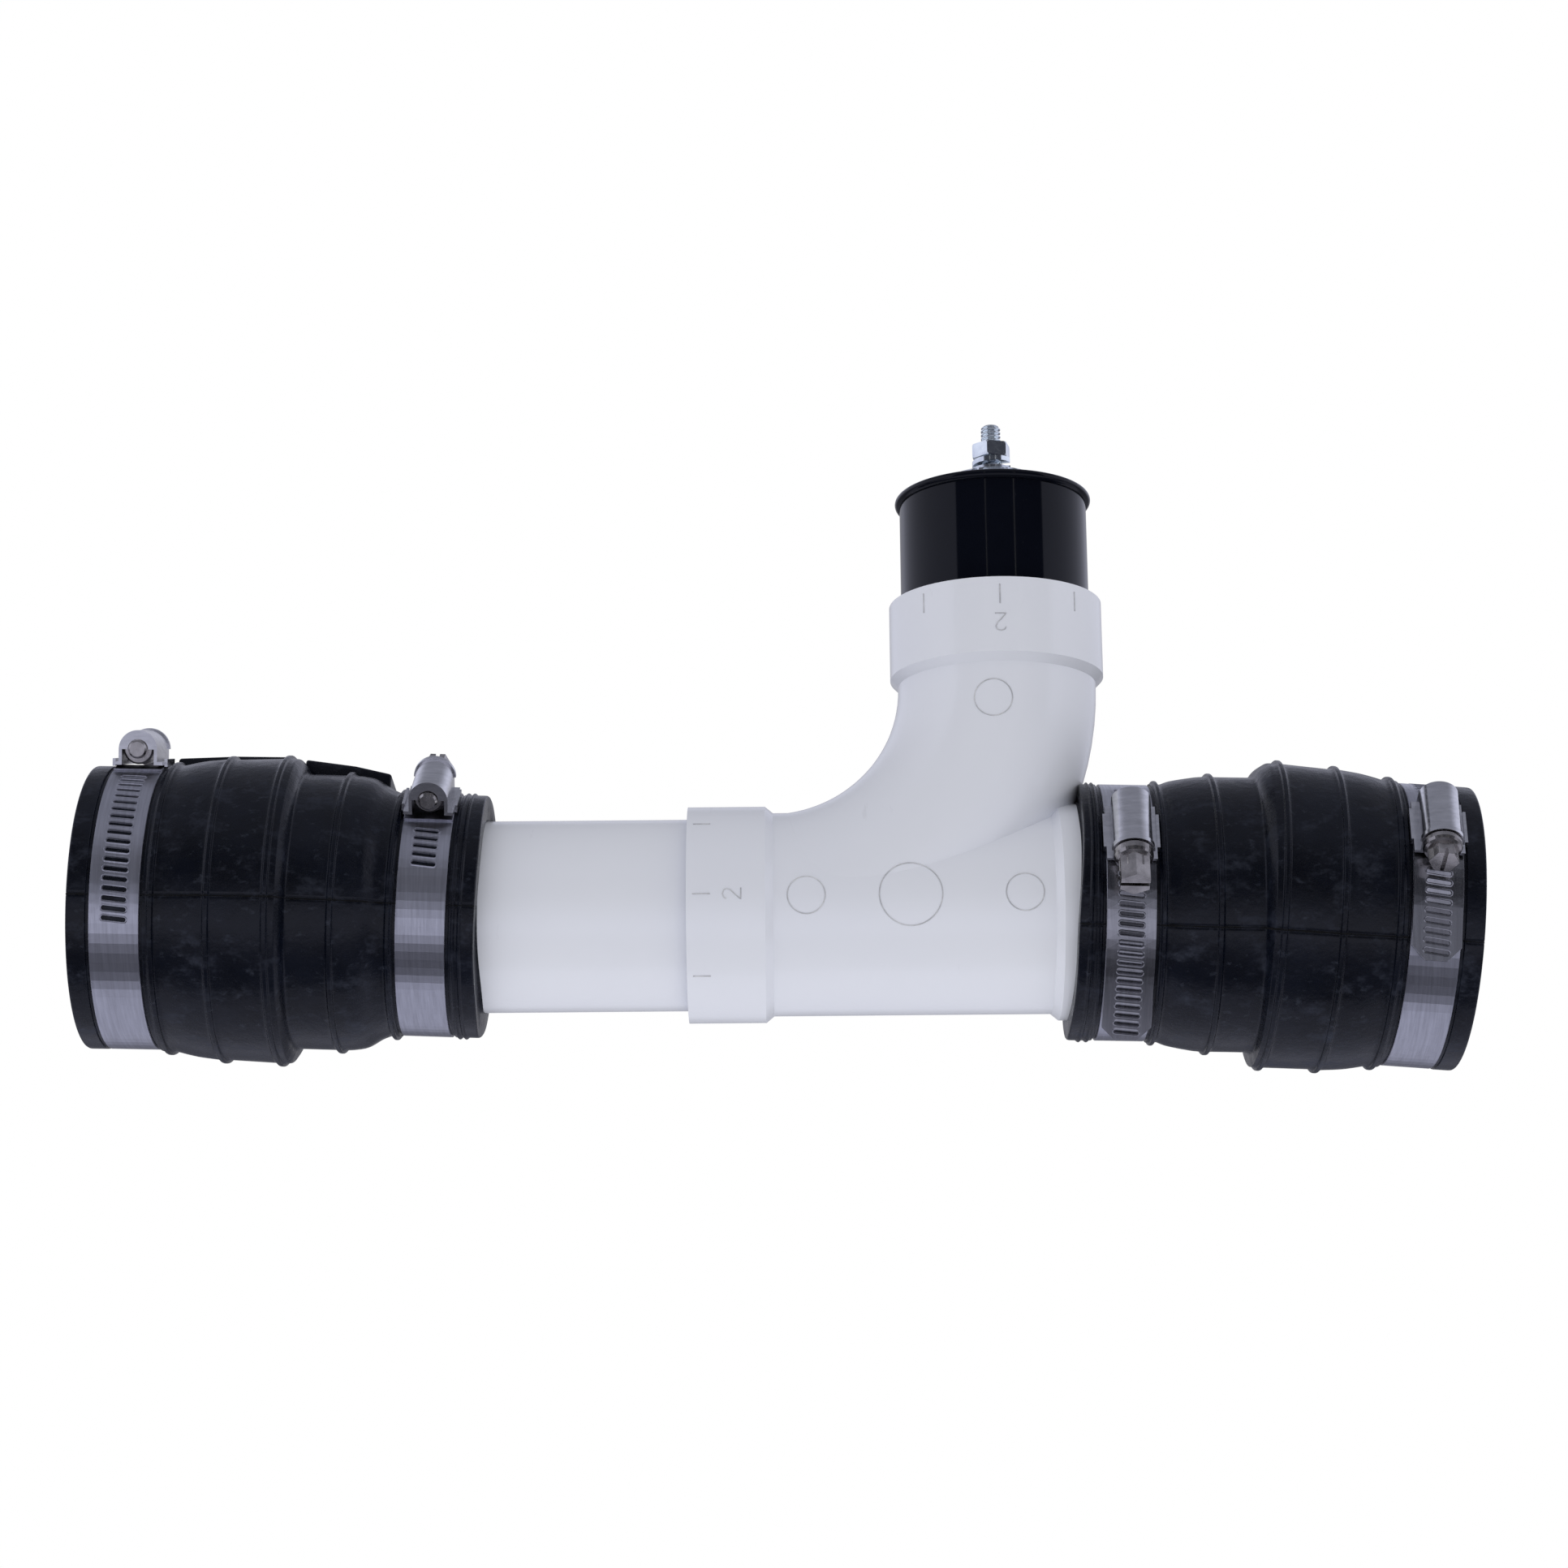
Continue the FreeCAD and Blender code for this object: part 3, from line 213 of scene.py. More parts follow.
def soft(name, colour, rough):
    """A plain moulded material with a fine grain."""
    scale = 400
    material, tree, shader = node_tree(name)
    darker = tuple(c * 0.85 for c in colour)
    tone = ramp(tree, grain(tree, scale * 0.2), [(0.3, darker), (0.7, colour)])
    tree.links.new(tone, shader.inputs["Base Color"])
    gloss = ramp(tree, grain(tree, scale), [(0.3, rough * 0.85), (0.7, min(1.0, rough * 1.15))])
    tree.links.new(gloss, shader.inputs["Roughness"])
    bump(tree, shader, [(grain(tree, scale * 3), 0.01)])
    return material


MATERIALS = {
    "white_pvc": white_pvc(),
    "pvc_mark_painted_shade": pvc_mark_painted_shade(),
    "black_rubber": black_rubber(),
    "black_tube": black_tube(),
    "zinc_plate": metal("zinc_plate", (0.66, 0.70, 0.75), 0.22),
    "zinc_fastener": metal("zinc_fastener", (0.82, 0.88, 0.96), 0.14, streak_depth=0.003, worn=0.2),
    "spring_steel": metal("spring_steel", (0.42, 0.43, 0.45), 0.30),
    "disc_aluminium": metal("disc_aluminium", (0.70, 0.71, 0.72), 0.35),
    "gasket_rubber": soft("gasket_rubber", (0.02, 0.02, 0.022), 0.6),
    "bush_brass": metal("bush_brass", (0.72, 0.56, 0.28), 0.28),
    "stainless_band": metal("stainless_band", (0.54, 0.545, 0.60), 0.42, streaks=(8, 0.35, 0.35),
                            streak_depth=0.001, brushed=True),
    # A darker copy of the band's steel for the pressed free ends: painted shade.
    "stainless_tail_painted_shade": metal("stainless_tail_painted_shade", (0.36, 0.36, 0.38), 0.20, streaks=(8, 0.35, 0.35)),
    "stainless_housing": metal("stainless_housing", (0.62, 0.62, 0.64), 0.20, streaks=(1, 1, 4)),
    # Matte near-black for the rubber's parting line: painted shade.
    "flash_painted_shade": soft("flash_painted_shade", (0.0008, 0.0009, 0.0012), 0.9),
    "screw_steel": metal("screw_steel", (0.42, 0.40, 0.39), 0.24, streak_depth=0.008, worn=0.35),
}


def new_piece(name, mesh, slot, body="line", smooth=True, finish=None):
    """A mesh in millimetres becomes a piece in metres that rides on its body."""
    mesh.transform(Matrix.Scale(MM, 4))
    piece = bpy.data.objects.new(name, mesh)
    bpy.context.scene.collection.objects.link(piece)
    mesh.materials.append(MATERIALS[finish or slot])
    if smooth:
        mesh.shade_smooth()
    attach(piece, body)
    return piece


def mesh_of(name, points, faces):
    mesh = bpy.data.meshes.new(name)
    mesh.from_pydata([tuple(p) for p in points], [], faces)
    bm = bmesh.new()
    bm.from_mesh(mesh)
    bmesh.ops.recalc_face_normals(bm, faces=bm.faces)
    bm.to_mesh(mesh)
    bm.free()
    return mesh


def tube(path, radius, sides=8, closed=False):
    """Points and faces of a round bar along a path, capped where it is open."""
    count = len(path)
    points = []
    faces = []
    side = None
    for index, here in enumerate(path):
        before = path[index - 1] if closed or index else here
        after = path[(index + 1) % count] if closed or index + 1 < count else here
        ahead = (after - before).normalized()
        if side is None:
            side = ahead.orthogonal().normalized()
        side = (side - ahead * side.dot(ahead)).normalized()
        across = ahead.cross(side)
        for step in range(sides):
            angle = FULL_TURN * step / sides
            points.append(here + (side * math.cos(angle) + across * math.sin(angle)) * radius)
    for index in range(count if closed else count - 1):
        near = index * sides
        far = (index + 1) % count * sides
        for step in range(sides):
            after = (step + 1) % sides
            faces.append((near + step, near + after, far + after, far + step))
    if not closed:
        faces.append(tuple(range(sides)))
        faces.append(tuple(range((count - 1) * sides, count * sides)))
    return points, faces


# Reducing couplings. Places are measured along the axis from the stop, radii from the axis.

PORT_RADIUS = 36.5
PORT_SEAT = PORT_RADIUS + 7.3
INLET_GRIP = 30.2
INLET_GRIP_WALL = 7.25
OUTLET_GRIP = 34.1
OUTLET_GRIP_WALL = 5.55
NECK_RADIUS = 43.25
STOP_BORE = 27.0
STOP_END = -8.0
MOUTH = 62.0
MOUTH_LIP = 56.0
LARGE_SEAT_END = 38.6
SMALL_SEAT_START = -36.2
SMALL_SEAT_END = -53.6
SEAT_MARGIN = 0.1
RIB_HALF = 1.2
CLAMP_RIB_HALF = 1.0
RIB_RISE = 1.1
BEAD_PITCH = 2
BEAD_RISE = 0.75
CORNER_STEPS = 4
LATHE_STEPS = 144
SEAM_OFFSETS = (-1.4, -0.75, -0.45, -0.25, -0.08, 0.08, 0.25, 0.45, 0.75, 1.4)
SEAM_DIP = 0.25
SEAM_DIP_PLACE = 0.5
SEAM_DIP_WIDTH = 0.3
SKIN_SWELL = 0.22
LIP_WAVE = 0.7
LEAN_START = -4
LEAN_LENGTH = 3
FLASH_STEP = 1.2
FLASH_HEIGHT = 0.30
FLASH_RAGGED = 0.25
FLASH_ROOT = 0.3
BAR_HALF = 9
BAR_BEVEL = 0.9


def rounded(outline):
    """An outline of (x, radius, corner radius) with its corners rounded."""
    made = []
    count = len(outline)
    for index, (x, radius, corner) in enumerate(outline):
        here = Vector((x, radius))
        if corner <= 0:
            made.append(here)
            continue
        before = Vector(outline[index - 1][:2]) - here
        after = Vector(outline[(index + 1) % count][:2]) - here
        reach = min(corner, before.length * 0.49, after.length * 0.49)
        start = here + before.normalized() * reach
        stop = here + after.normalized() * reach
        for step in range(CORNER_STEPS + 1):
            share = step / CORNER_STEPS
            made.append(start.lerp(here, share).lerp(here.lerp(stop, share), share))
    return made


def rib(middle, height, half, rise):
    """A rounded moulded rib, drawn from +X to -X."""
    return [
        (middle + half * 1.5, height, 0.5),
        (middle + half * 0.8, height + rise * 0.25, 0.4),
        (middle + half * 0.55, height + rise, 0.6),
        (middle - half * 0.55, height + rise, 0.6),
        (middle - half * 0.8, height + rise * 0.25, 0.4),
        (middle - half * 1.5, height, 0.5),
    ]


def coupling_outline(tail_x, beads, grip, wall, stretched):
    """The section of a coupling: mouth at +X, stop at 0, small end at -X."""
    port = PORT_RADIUS
    seat = PORT_SEAT
    lip = seat + 0.8
    belly = seat + 4.1
    beside = seat + 1.2
    neck = NECK_RADIUS
    grip_seat = grip + wall
    base = grip_seat + 1.0
    tail = grip_seat + 0.7
    outline = [
        (MOUTH, port, 0.5), (MOUTH, lip, 0.9), (MOUTH_LIP, lip, 0.4), (MOUTH_LIP, seat, 0.3),
        (LARGE_SEAT_END, seat, 0.3), (LARGE_SEAT_END, beside, 0.4),
        *rib(36.2, beside, RIB_HALF, RIB_RISE),
        (28, seat + 2.7, 3.0),
        *rib(19.0, belly - 0.6, RIB_HALF, RIB_RISE),
        *rib(1.2, belly, RIB_HALF, RIB_RISE),
        (-1.6, belly, 1.6), (-3.6, belly - 2.4, 1.4), (-4.4, neck, 1.2),
        *rib(-18.0, neck, RIB_HALF, RIB_RISE),
        (-21.5, neck - 0.1, 2.0), (-26, neck - 0.75, 3.0), (-30.5, base + 1.0, 2.0),
        (-33.0, base, 0.8),
        *rib(-35.0, base, CLAMP_RIB_HALF, RIB_RISE),
        (SMALL_SEAT_START, grip_seat + 0.6, 0.3), (SMALL_SEAT_START, grip_seat, 0.3),
        (SMALL_SEAT_END, grip_seat, 0.3), (SMALL_SEAT_END, tail, 0.3),
    ]
    for bead in range(beads):
        back = bead * BEAD_PITCH
        outline += [(-54.2 - back, tail, 0.2), (-54.9 - back, tail + BEAD_RISE, 0.4),
                    (-55.6 - back, tail, 0.3)]
    outline += [(tail_x, tail, 0.9), (tail_x, grip, 0.6)]
    if stretched:
        outline += [(-31.6, grip, 1.0), (-27.6, INLET_GRIP, 1.0)]
    outline += [(STOP_END, INLET_GRIP, 0.4), (STOP_END, STOP_BORE, 0.8), (0, STOP_BORE, 0.8),
                (0, port, 0.4)]
    return rounded(outline)


def turned_about(x, angle):
    """A turn about a cross line of a coupling, at a place on its axis."""
    return (Matrix.Translation((x, 0, 0)) @ Matrix.Rotation(math.radians(angle), 4, "Y")
            @ Matrix.Translation((-x, 0, 0)))


def coupling(name, node, seat, front, tail_length, beads, tilt, lean, grip, wall, stretched, shear):
    """A moulded rubber coupling, lathed, with its parting line and its uneven small end.

    Its large half leans, its bore keeps in line with the pipe, and its small end is not
    cut square.
    """
    tail_x = -tail_length
    section = coupling_outline(tail_x, beads, grip, wall, stretched)
    angles = [FULL_TURN * step / LATHE_STEPS for step in range(LATHE_STEPS)]
    seams = {"front": math.radians(front), "back": math.radians((front + 180) % 360)}
    for seam in seams.values():
        angles += [seam + math.radians(offset) for offset in SEAM_OFFSETS]
    angles = sorted(angles)
    outer_count = next(i for i, p in enumerate(section) if p.x <= tail_x + 0.1 and p.y < grip + 0.7)
    leaning = Matrix.Rotation(math.radians(-lean), 4, "Y")
    in_line = turned_about(tail_x, tilt)
    lip_length = tail_length + SMALL_SEAT_END
    drift = seat.to_translation().x * 0.01
    points = []
    for angle in angles:
        off_seam = min(abs(math.degrees(angle - seam)) for seam in seams.values())
        seam_rise = -SEAM_DIP * math.exp(-((off_seam - SEAM_DIP_PLACE) / SEAM_DIP_WIDTH) ** 2)
        for index, corner in enumerate(section):
            x, radius = corner
            on_small_seat = SMALL_SEAT_END - SEAT_MARGIN < x < SMALL_SEAT_START + SEAT_MARGIN
            on_large_seat = LARGE_SEAT_END - SEAT_MARGIN < x < MOUTH_LIP + SEAT_MARGIN
            on_band = on_small_seat or on_large_seat
            if index <= outer_count and not on_band:
                where = Vector((x * 0.03, math.cos(angle) * 1.4, math.sin(angle) * 1.4 + drift))
                radius += noise.noise(where) * SKIN_SWELL + seam_rise
            share = min(1.0, max(0.0, (SMALL_SEAT_END - x) / lip_length))
            if share > 0:
                wave = noise.noise(Vector((math.cos(angle) * 1.3, math.sin(angle) * 1.3, tail_length)))
                x += share * (LIP_WAVE * wave + shear * math.sin(angle))
            point = Vector((x, radius * math.cos(angle), radius * math.sin(angle)))
            if index > outer_count and x < LEAN_START:
                point = in_line @ point
            elif x > LEAN_START:
                point = point.lerp(leaning @ point, min(1.0, (x - LEAN_START) / LEAN_LENGTH))
            points.append(seat @ point)
    count = len(section)
    faces = []
    for step in range(len(angles)):
        near = step * count
        far = (step + 1) % len(angles) * count
        for index in range(count):
            after = (index + 1) % count
            faces.append((near + index, near + after, far + after, far + index))
    piece = new_piece(name, mesh_of(name, points, faces), "black_rubber")
    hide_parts(node)
    for side, seam in seams.items():
        column = min(range(len(angles)), key=lambda i: abs(angles[i] - seam)) * count
        flash(f"{name}_flash_{side}", points[column:column + outer_count], seat)


def flash(name, path, seat):
    """The thin ragged line of rubber where the mould's halves met, drawn matte near-black as painted
    shade of the parting line.
    """
    axis_start = seat.to_translation()
    axis = seat.col[0].to_3d().normalized()
    points = []
    faces = []
    rows = 0
    for first, last in zip(path, path[1:]):
        steps = max(1, int((last - first).length / FLASH_STEP))
        for step in range(steps):
            here = first.lerp(last, step / steps)
            out = here - axis_start
            out = (out - axis * out.dot(axis)).normalized()
            across = axis.cross(out)
            ragged = noise.noise(here * 0.35)
            half = FLASH_HEIGHT + FLASH_RAGGED * ragged
            foot = here - out * FLASH_ROOT
            points += [foot + across * half, here + out * half, foot - across * half]
            rows += 1
    for row in range(rows - 1):
        for step in range(3):
            after = (step + 1) % 3
            faces.append((row * 3 + step, row * 3 + after, row * 3 + 3 + after, row * 3 + 3 + step))
    faces.append((0, 1, 2))
    faces.append((rows * 3 - 3, rows * 3 - 2, rows * 3 - 1))
    new_piece(name, mesh_of(name, points, faces), "black_rubber", smooth=False, finish="flash_painted_shade")


def moulded_bar(name, seat, angle, heights):
    """A raised bar of the mould along a coupling, turned from its top towards its back."""
    bm = bmesh.new()
    rings = []
    for x, top, root in heights:
        section = ((-BAR_HALF, root), (-BAR_HALF, top), (BAR_HALF, top), (BAR_HALF, root))
        rings.append([bm.verts.new((x, y, z)) for y, z in section])
    for near, far in zip(rings, rings[1:]):
        for index in range(4):
            after = (index + 1) % 4
            bm.faces.new((near[index], near[after], far[after], far[index]))
    bm.faces.new(rings[0])
    bm.faces.new(rings[-1])
    bmesh.ops.recalc_face_normals(bm, faces=bm.faces)
    sharp = [edge for edge in bm.edges if edge.calc_face_angle(0) > 0.5]
    bmesh.ops.bevel(bm, geom=sharp, offset=BAR_BEVEL, segments=4, profile=0.5, affect="EDGES")
    mesh = bpy.data.meshes.new(name)
    bm.to_mesh(mesh)
    bm.free()
    backwards = 1 if seat.col[0].x < 0 else -1
    mesh.transform(seat @ Matrix.Rotation(math.radians(angle * backwards), 4, "X"))
    new_piece(name, mesh, "black_rubber")


# Each bar: its place along the axis, its top and its root.
SMALL_BAR = ((-2.0, 47.6, 43.0), (-18.0, 45.9, 40.0), (-29.5, 43.6, 37.5))
LARGE_BAR = ((39.5, 48.0, 43.0), (21.0, 49.4, 44.0), (3.0, 49.8, 45.0))
ON_INLET = Matrix.Rotation(math.radians(2.4), 4, "Y")
INLET_SEAT = ON_INLET @ Matrix.Rotation(math.pi, 4, "Z")
OUTLET_SEAT = (Matrix.Translation((OUTLET_TAIL_X, 0, RUN_Z)) @ Matrix.Rotation(math.radians(1.5), 4, "Y")
               @ Matrix.Translation((56.6, 0, 0)))
coupling("inlet_coupling_rubber", "inlet_coupling", INLET_SEAT, front=353.5, tail_length=61.4,
         beads=2, tilt=2.4, lean=-0.8, grip=INLET_GRIP, wall=INLET_GRIP_WALL,
         stretched=False, shear=0.0)
coupling("outlet_coupling_rubber", "outlet_coupling", OUTLET_SEAT, front=197, tail_length=60.0,
         beads=2, tilt=-1.5, lean=-3.1, grip=OUTLET_GRIP, wall=OUTLET_GRIP_WALL,
         stretched=True, shear=1.2)
moulded_bar("inlet_coupling_bar", INLET_SEAT, 5.0, SMALL_BAR)
moulded_bar("inlet_coupling_bar_large", INLET_SEAT, 12.0, LARGE_BAR)
moulded_bar("outlet_coupling_bar", OUTLET_SEAT, 105.0, SMALL_BAR)


# Clamp bands

INLET_PORT = ON_INLET @ Matrix.Rotation(math.radians(-0.8), 4, "Y") @ Matrix.Translation((-47.3, 0, 0))
INLET_PIPE = ON_INLET @ Matrix.Translation((44.9, 0, 0))
OUTLET_HUB = OUTLET_SEAT @ Matrix.Translation((-44.9, 0, 0))
OUTLET_PORT = (OUTLET_SEAT @ Matrix.Rotation(math.radians(3.1), 4, "Y")
               @ Matrix.Translation((47.3, 0, 0)))


def clamp_frame(seat, turned, flipped=False):
    """A clamp's own frame: X along the line, its housing at the top."""
    clamp_seat = seat @ Matrix.Rotation(math.radians(turned), 4, "X")
    if flipped:
        clamp_seat = clamp_seat @ Matrix.Rotation(math.pi, 4, "Z")
    return clamp_seat


# Each clamp's frame, and the radius of the rubber that it lies on.
CLAMPS = {
    "inlet_port_clamp": (clamp_frame(INLET_PORT, 15.0, flipped=True), PORT_SEAT),
    "inlet_pipe_clamp": (clamp_frame(INLET_PIPE, 37.0, flipped=True), INLET_GRIP + INLET_GRIP_WALL),
    "outlet_hub_clamp": (clamp_frame(OUTLET_HUB, 66.0), OUTLET_GRIP + OUTLET_GRIP_WALL),
    "outlet_port_clamp": (clamp_frame(OUTLET_PORT, 61.0), PORT_SEAT),
}
BAND_HALF = 7.6
BAND_THICKNESS = 0.65
BAND_GAP = 0.02
BAND_BEVEL = 0.12
TAIL_CORNER = 4.2
TAIL_MARGIN = 2.9
HOUSING_HALF = 10.0
SLOT_PITCH = 3.05
SLOT_HALF = 0.7
SLOT_REACH = 3.1
SLOT_SLANT = math.radians(5.5)
SLOT_STEPS = 16
CELL_ANGLE = math.radians(4)
NEVER_STRAIGHT = 360.0

# A slot's rim, from its foot on the band to its edge: how much wider than the slot, and how high.
RIM = ((0.5, 0.0), (0.24, 0.13), (0.04, 0.10), (-0.04, -0.1))
PRESSED_GROW = -0.1
PRESSED_DEPTH = -0.34
PRESSED_LEAN = 0.24
ACROSS = (-1.0, -0.62, -0.42, -0.14, 0.14, 0.42, 0.62, 1.0)


def laid(radius, straight_from, x, angle, lift):
    """A point on a band: it follows the round, and leaves it straight beyond an angle."""
    bend = min(angle, straight_from)
    beyond = radius * (angle - bend)
    out = radius + lift
    return Vector((x, -out * math.sin(bend) - beyond * math.cos(bend),
                   out * math.cos(bend) - beyond * math.sin(bend)))


class Strip:
    """Points and faces of a stretch of band, in cells from one cross line to the next."""

    def __init__(self, radius, straight_from=FULL_TURN * 2):
        self.radius = radius
        self.straight_from = straight_from
        self.points = []
        self.faces = []

    def row(self, places):
        start = len(self.points)
        for x, angle, lift in places:
            self.points.append(laid(self.radius, self.straight_from, x, angle, lift))
        return list(range(start, len(self.points)))

    def border(self, angle, half=BAND_HALF):
        """The band's section: its face with bevelled sides, and its underside."""
        inside = half - BAND_BEVEL
        face = self.row([(inside * share, angle, 0.0) for share in ACROSS])
        sides = self.row([(-half, angle, -BAND_BEVEL), (half, angle, -BAND_BEVEL)])
        under = self.row([(half * share, angle, -BAND_THICKNESS) for share in ACROSS])
        return face, sides, under

    def bridge(self, first, last):
        for index in range(len(first) - 1):
            self.faces.append((first[index], first[index + 1], last[index + 1], last[index]))

    def sides(self, near, far):
        for end, side in ((0, 0), (-1, 1)):
            self.faces.append((near[0][end], near[1][side], far[1][side], far[0][end]))
            self.faces.append((near[1][side], near[2][end], far[2][end], far[1][side]))

    def plain(self, near, far):
        self.bridge(near[0], far[0])
        self.bridge(near[2], far[2])
        self.sides(near, far)

    def slotted(self, near, far, angle, pressed):
        """A cell with a worm slot: cut through, or pressed in with a leaning bottom."""
        def loop(grow, lift, lean=0.0):
            places = []
            for step in range(SLOT_STEPS):
                turn = FULL_TURN * (step + 0.5) / SLOT_STEPS
                end = SLOT_REACH * (1 if math.cos(turn) > 0 else -1)
                along = end + (SLOT_HALF + grow) * math.cos(turn)
                off = (SLOT_HALF + grow) * math.sin(turn)
                x = along * math.cos(SLOT_SLANT) - off * math.sin(SLOT_SLANT)
                away = along * math.sin(SLOT_SLANT) + off * math.cos(SLOT_SLANT)
                places.append((x, angle + away / self.radius, lift - lean * math.sin(turn)))
            return self.row(places)

        def ring(outer, inner):
            for step in range(SLOT_STEPS):
                after = (step + 1) % SLOT_STEPS
                self.faces.append((outer[step], outer[after], inner[after], inner[step]))

        loops = [far[0][::-1] + near[0]]
        loops += [loop(grow, lift) for grow, lift in RIM]
        if pressed:
            loops.append(loop(PRESSED_GROW, PRESSED_DEPTH, PRESSED_LEAN))
        else:
            loops += [loop(RIM[-1][0], -BAND_THICKNESS), far[2][::-1] + near[2]]
        for outer, inner in zip(loops, loops[1:]):
            ring(outer, inner)
        if pressed:
            self.faces.append(tuple(loops[-1]))
            self.bridge(near[2], far[2])
        self.sides(near, far)

    def run(self, first, last, slots, pressed, closed=False, cut_end=False):
        """Cells from one angle to another, with slots centred at the given angles."""
        pitch = SLOT_PITCH / self.radius
        breaks = []
        here = first
        for slot in sorted(slots):
            breaks.append((here, slot - pitch / 2, None))
            breaks.append((slot - pitch / 2, slot + pitch / 2, slot))
            here = slot + pitch / 2
        breaks.append((here, last, None))

        def edge(angle):
            if not cut_end:
                return self.border(angle)
            cut = max(0.0, TAIL_CORNER - (last - angle) * self.radius)
            return self.border(angle, BAND_HALF - cut)

        start = near = edge(first)
        for begin, end, slot in breaks:
            if slot is not None:
                far = edge(end)
                self.slotted(near, far, slot, pressed)
                near = far
                continue
            if end - begin < 1e-6:
                continue
            count = max(1, math.ceil((end - begin) / CELL_ANGLE))
            for step in range(1, count + 1):
                if closed and step == count and end == last:
                    far = start
                else:
                    far = edge(begin + (end - begin) * step / count)
                self.plain(near, far)
                near = far
        if not closed:
            for face, sides, under in (start, near):
                self.faces.append((sides[0], *face, sides[1], *under[::-1]))


def worm_band(clamp, wrap_last, tail_first, tail_last, straight, pressed):
    """A closed hoop with slots on one side of the housing, and its free end over the other.

    Angles are in degrees from the housing. The free end leaves the round at the straight
    angle, and its slots are pressed in or cut through.
    """
    clamp_seat, seat_radius = CLAMPS[clamp]
    lap = seat_radius + BAND_GAP + BAND_THICKNESS
    outer = lap + BAND_THICKNESS
    pitch = SLOT_PITCH / lap
    count = int((math.radians(wrap_last) - HOUSING_HALF / lap) / pitch)
    hoop = Strip(lap)
    wrap = [-math.radians(wrap_last) + pitch * index for index in range(count)]
    hoop.run(-math.pi, math.pi, wrap, False, closed=True)
    tail = Strip(outer, math.radians(straight))
    pitch = SLOT_PITCH / outer
    count = int(math.radians(tail_last - tail_first) / pitch + 0.5) + 1
    slots = [math.radians(tail_first) + pitch * index for index in range(count)]
    end = slots[-1] + TAIL_MARGIN / outer
    tail.run(-HOUSING_HALF / outer, end, slots, pressed, cut_end=True)
    for part, strip in (("hoop", hoop), ("tail", tail)):
        name = f"{clamp}_band_{part}"
        points = [clamp_seat @ point for point in strip.points]
        # The pressed free end takes the darker copy of the band's steel: painted shade where it stands
        # off the hoop.
        finish = "stainless_tail_painted_shade" if pressed and part == "tail" else None
        piece = new_piece(name, mesh_of(name, points, strip.faces), "stainless_band",
                          smooth=False, finish=finish)
        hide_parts(clamp + "_band")


worm_band("inlet_port_clamp", 91.0, 17.0, 56.0, NEVER_STRAIGHT, False)
worm_band("inlet_pipe_clamp", 40.1, 19.0, 62.0, NEVER_STRAIGHT, False)
worm_band("outlet_hub_clamp", 34.0, 19.3, 92.0, 66.0, True)
worm_band("outlet_port_clamp", 60.0, 19.5, 50.4, 34.0, True)


# Clamp screws' heads

COLLAR_START = -10.3
COLLAR_RADIUS = 6.0
COLLAR_SIDES = 48
HEX_OVERLAP = 0.2
DRIVER_SLOT_DEPTH = 2.6
DRIVER_SLOT_HALF = 0.75
WORM_LIFT = 6.32

# The collar's profile: share of its length, share of its radius.
COLLAR_PROFILE = ((0.0, 0.93), (0.06, 1.0), (0.55, 1.0), (0.85, 0.93), (1.0, 0.80))


def prism(outline, start, stop, first):
    """Points and faces of a bar along Y with a given section."""
    count = len(outline)
    points = [Vector((x, y, z)) for y in (start, stop) for x, z in outline]
    faces = [tuple(range(first, first + count)), tuple(range(first + count, first + count * 2))]
    for index in range(count):
        after = (index + 1) % count
        faces.append((first + index, first + after, first + count + after, first + count + index))
    return points, faces


def screw_head(clamp, head_turn, half_flat, collar_length, end):
    """The screw's collar and long hexagon, with its driver slot, over the plainer solid."""
    clamp_seat, seat_radius = CLAMPS[clamp]
    corner = half_flat / math.cos(math.pi / 6)
    stop = COLLAR_START - collar_length
    slot_floor = end + DRIVER_SLOT_DEPTH
    half = [(DRIVER_SLOT_HALF, -half_flat), (corner / 2, -half_flat), (corner, 0.0),
            (corner / 2, half_flat), (DRIVER_SLOT_HALF, half_flat)]
    other_half = [(-x, z) for x, z in half]
    sixths = [math.pi / 3 * i for i in range(6)]
    hexagonal = [(corner * math.cos(turn), corner * math.sin(turn)) for turn in sixths]
    sides = COLLAR_SIDES
    points = []
    faces = []
    for number, (share, wide) in enumerate(COLLAR_PROFILE):
        for step in range(sides):
            angle = FULL_TURN * step / sides
            radius = COLLAR_RADIUS * wide
            points.append(Vector((radius * math.cos(angle), COLLAR_START - collar_length * share,
                                  radius * math.sin(angle))))
            if number:
                after = (step + 1) % sides
                near = (number - 1) * sides
                faces.append((near + step, near + after, near + sides + after, near + sides + step))
    faces.append(tuple(range(sides)))
    faces.append(tuple(range((len(COLLAR_PROFILE) - 1) * sides, len(COLLAR_PROFILE) * sides)))
    for outline, start, last in ((hexagonal, stop + HEX_OVERLAP, slot_floor),
                                 (half, slot_floor, end), (other_half, slot_floor, end)):
        more_points, more_faces = prism(outline, start, last, len(points))
        points += more_points
        faces += more_faces
    screw_seat = clamp_seat @ Matrix.Translation((0, 0, seat_radius + WORM_LIFT))
    screw_seat = screw_seat @ Matrix.Rotation(math.radians(head_turn), 4, "Y")
    name = clamp + "_screw_head"
    new_piece(name, mesh_of(name, [screw_seat @ point for point in points], faces), "screw_steel",
              clamp + "_screw", smooth=False)


screw_head("outlet_hub_clamp", head_turn=90.0, half_flat=4.4, collar_length=3.6, end=-22.6)
screw_head("outlet_port_clamp", head_turn=4.0, half_flat=4.0, collar_length=2.8, end=-17.5)


# Marks moulded on the white fitting

def run_hub(x, z):
    """The front of the inlet hub, at a height above the run's axis."""
    return Vector((x, -math.sqrt(HUB_RADIUS ** 2 - z * z), z + RUN_Z))


def branch_hub(x, z):
    """The front of the branch's hub, at a height above the run's axis."""
    return Vector((x, -math.sqrt(HUB_RADIUS ** 2 - (x - BRANCH_X) ** 2), z + RUN_Z))


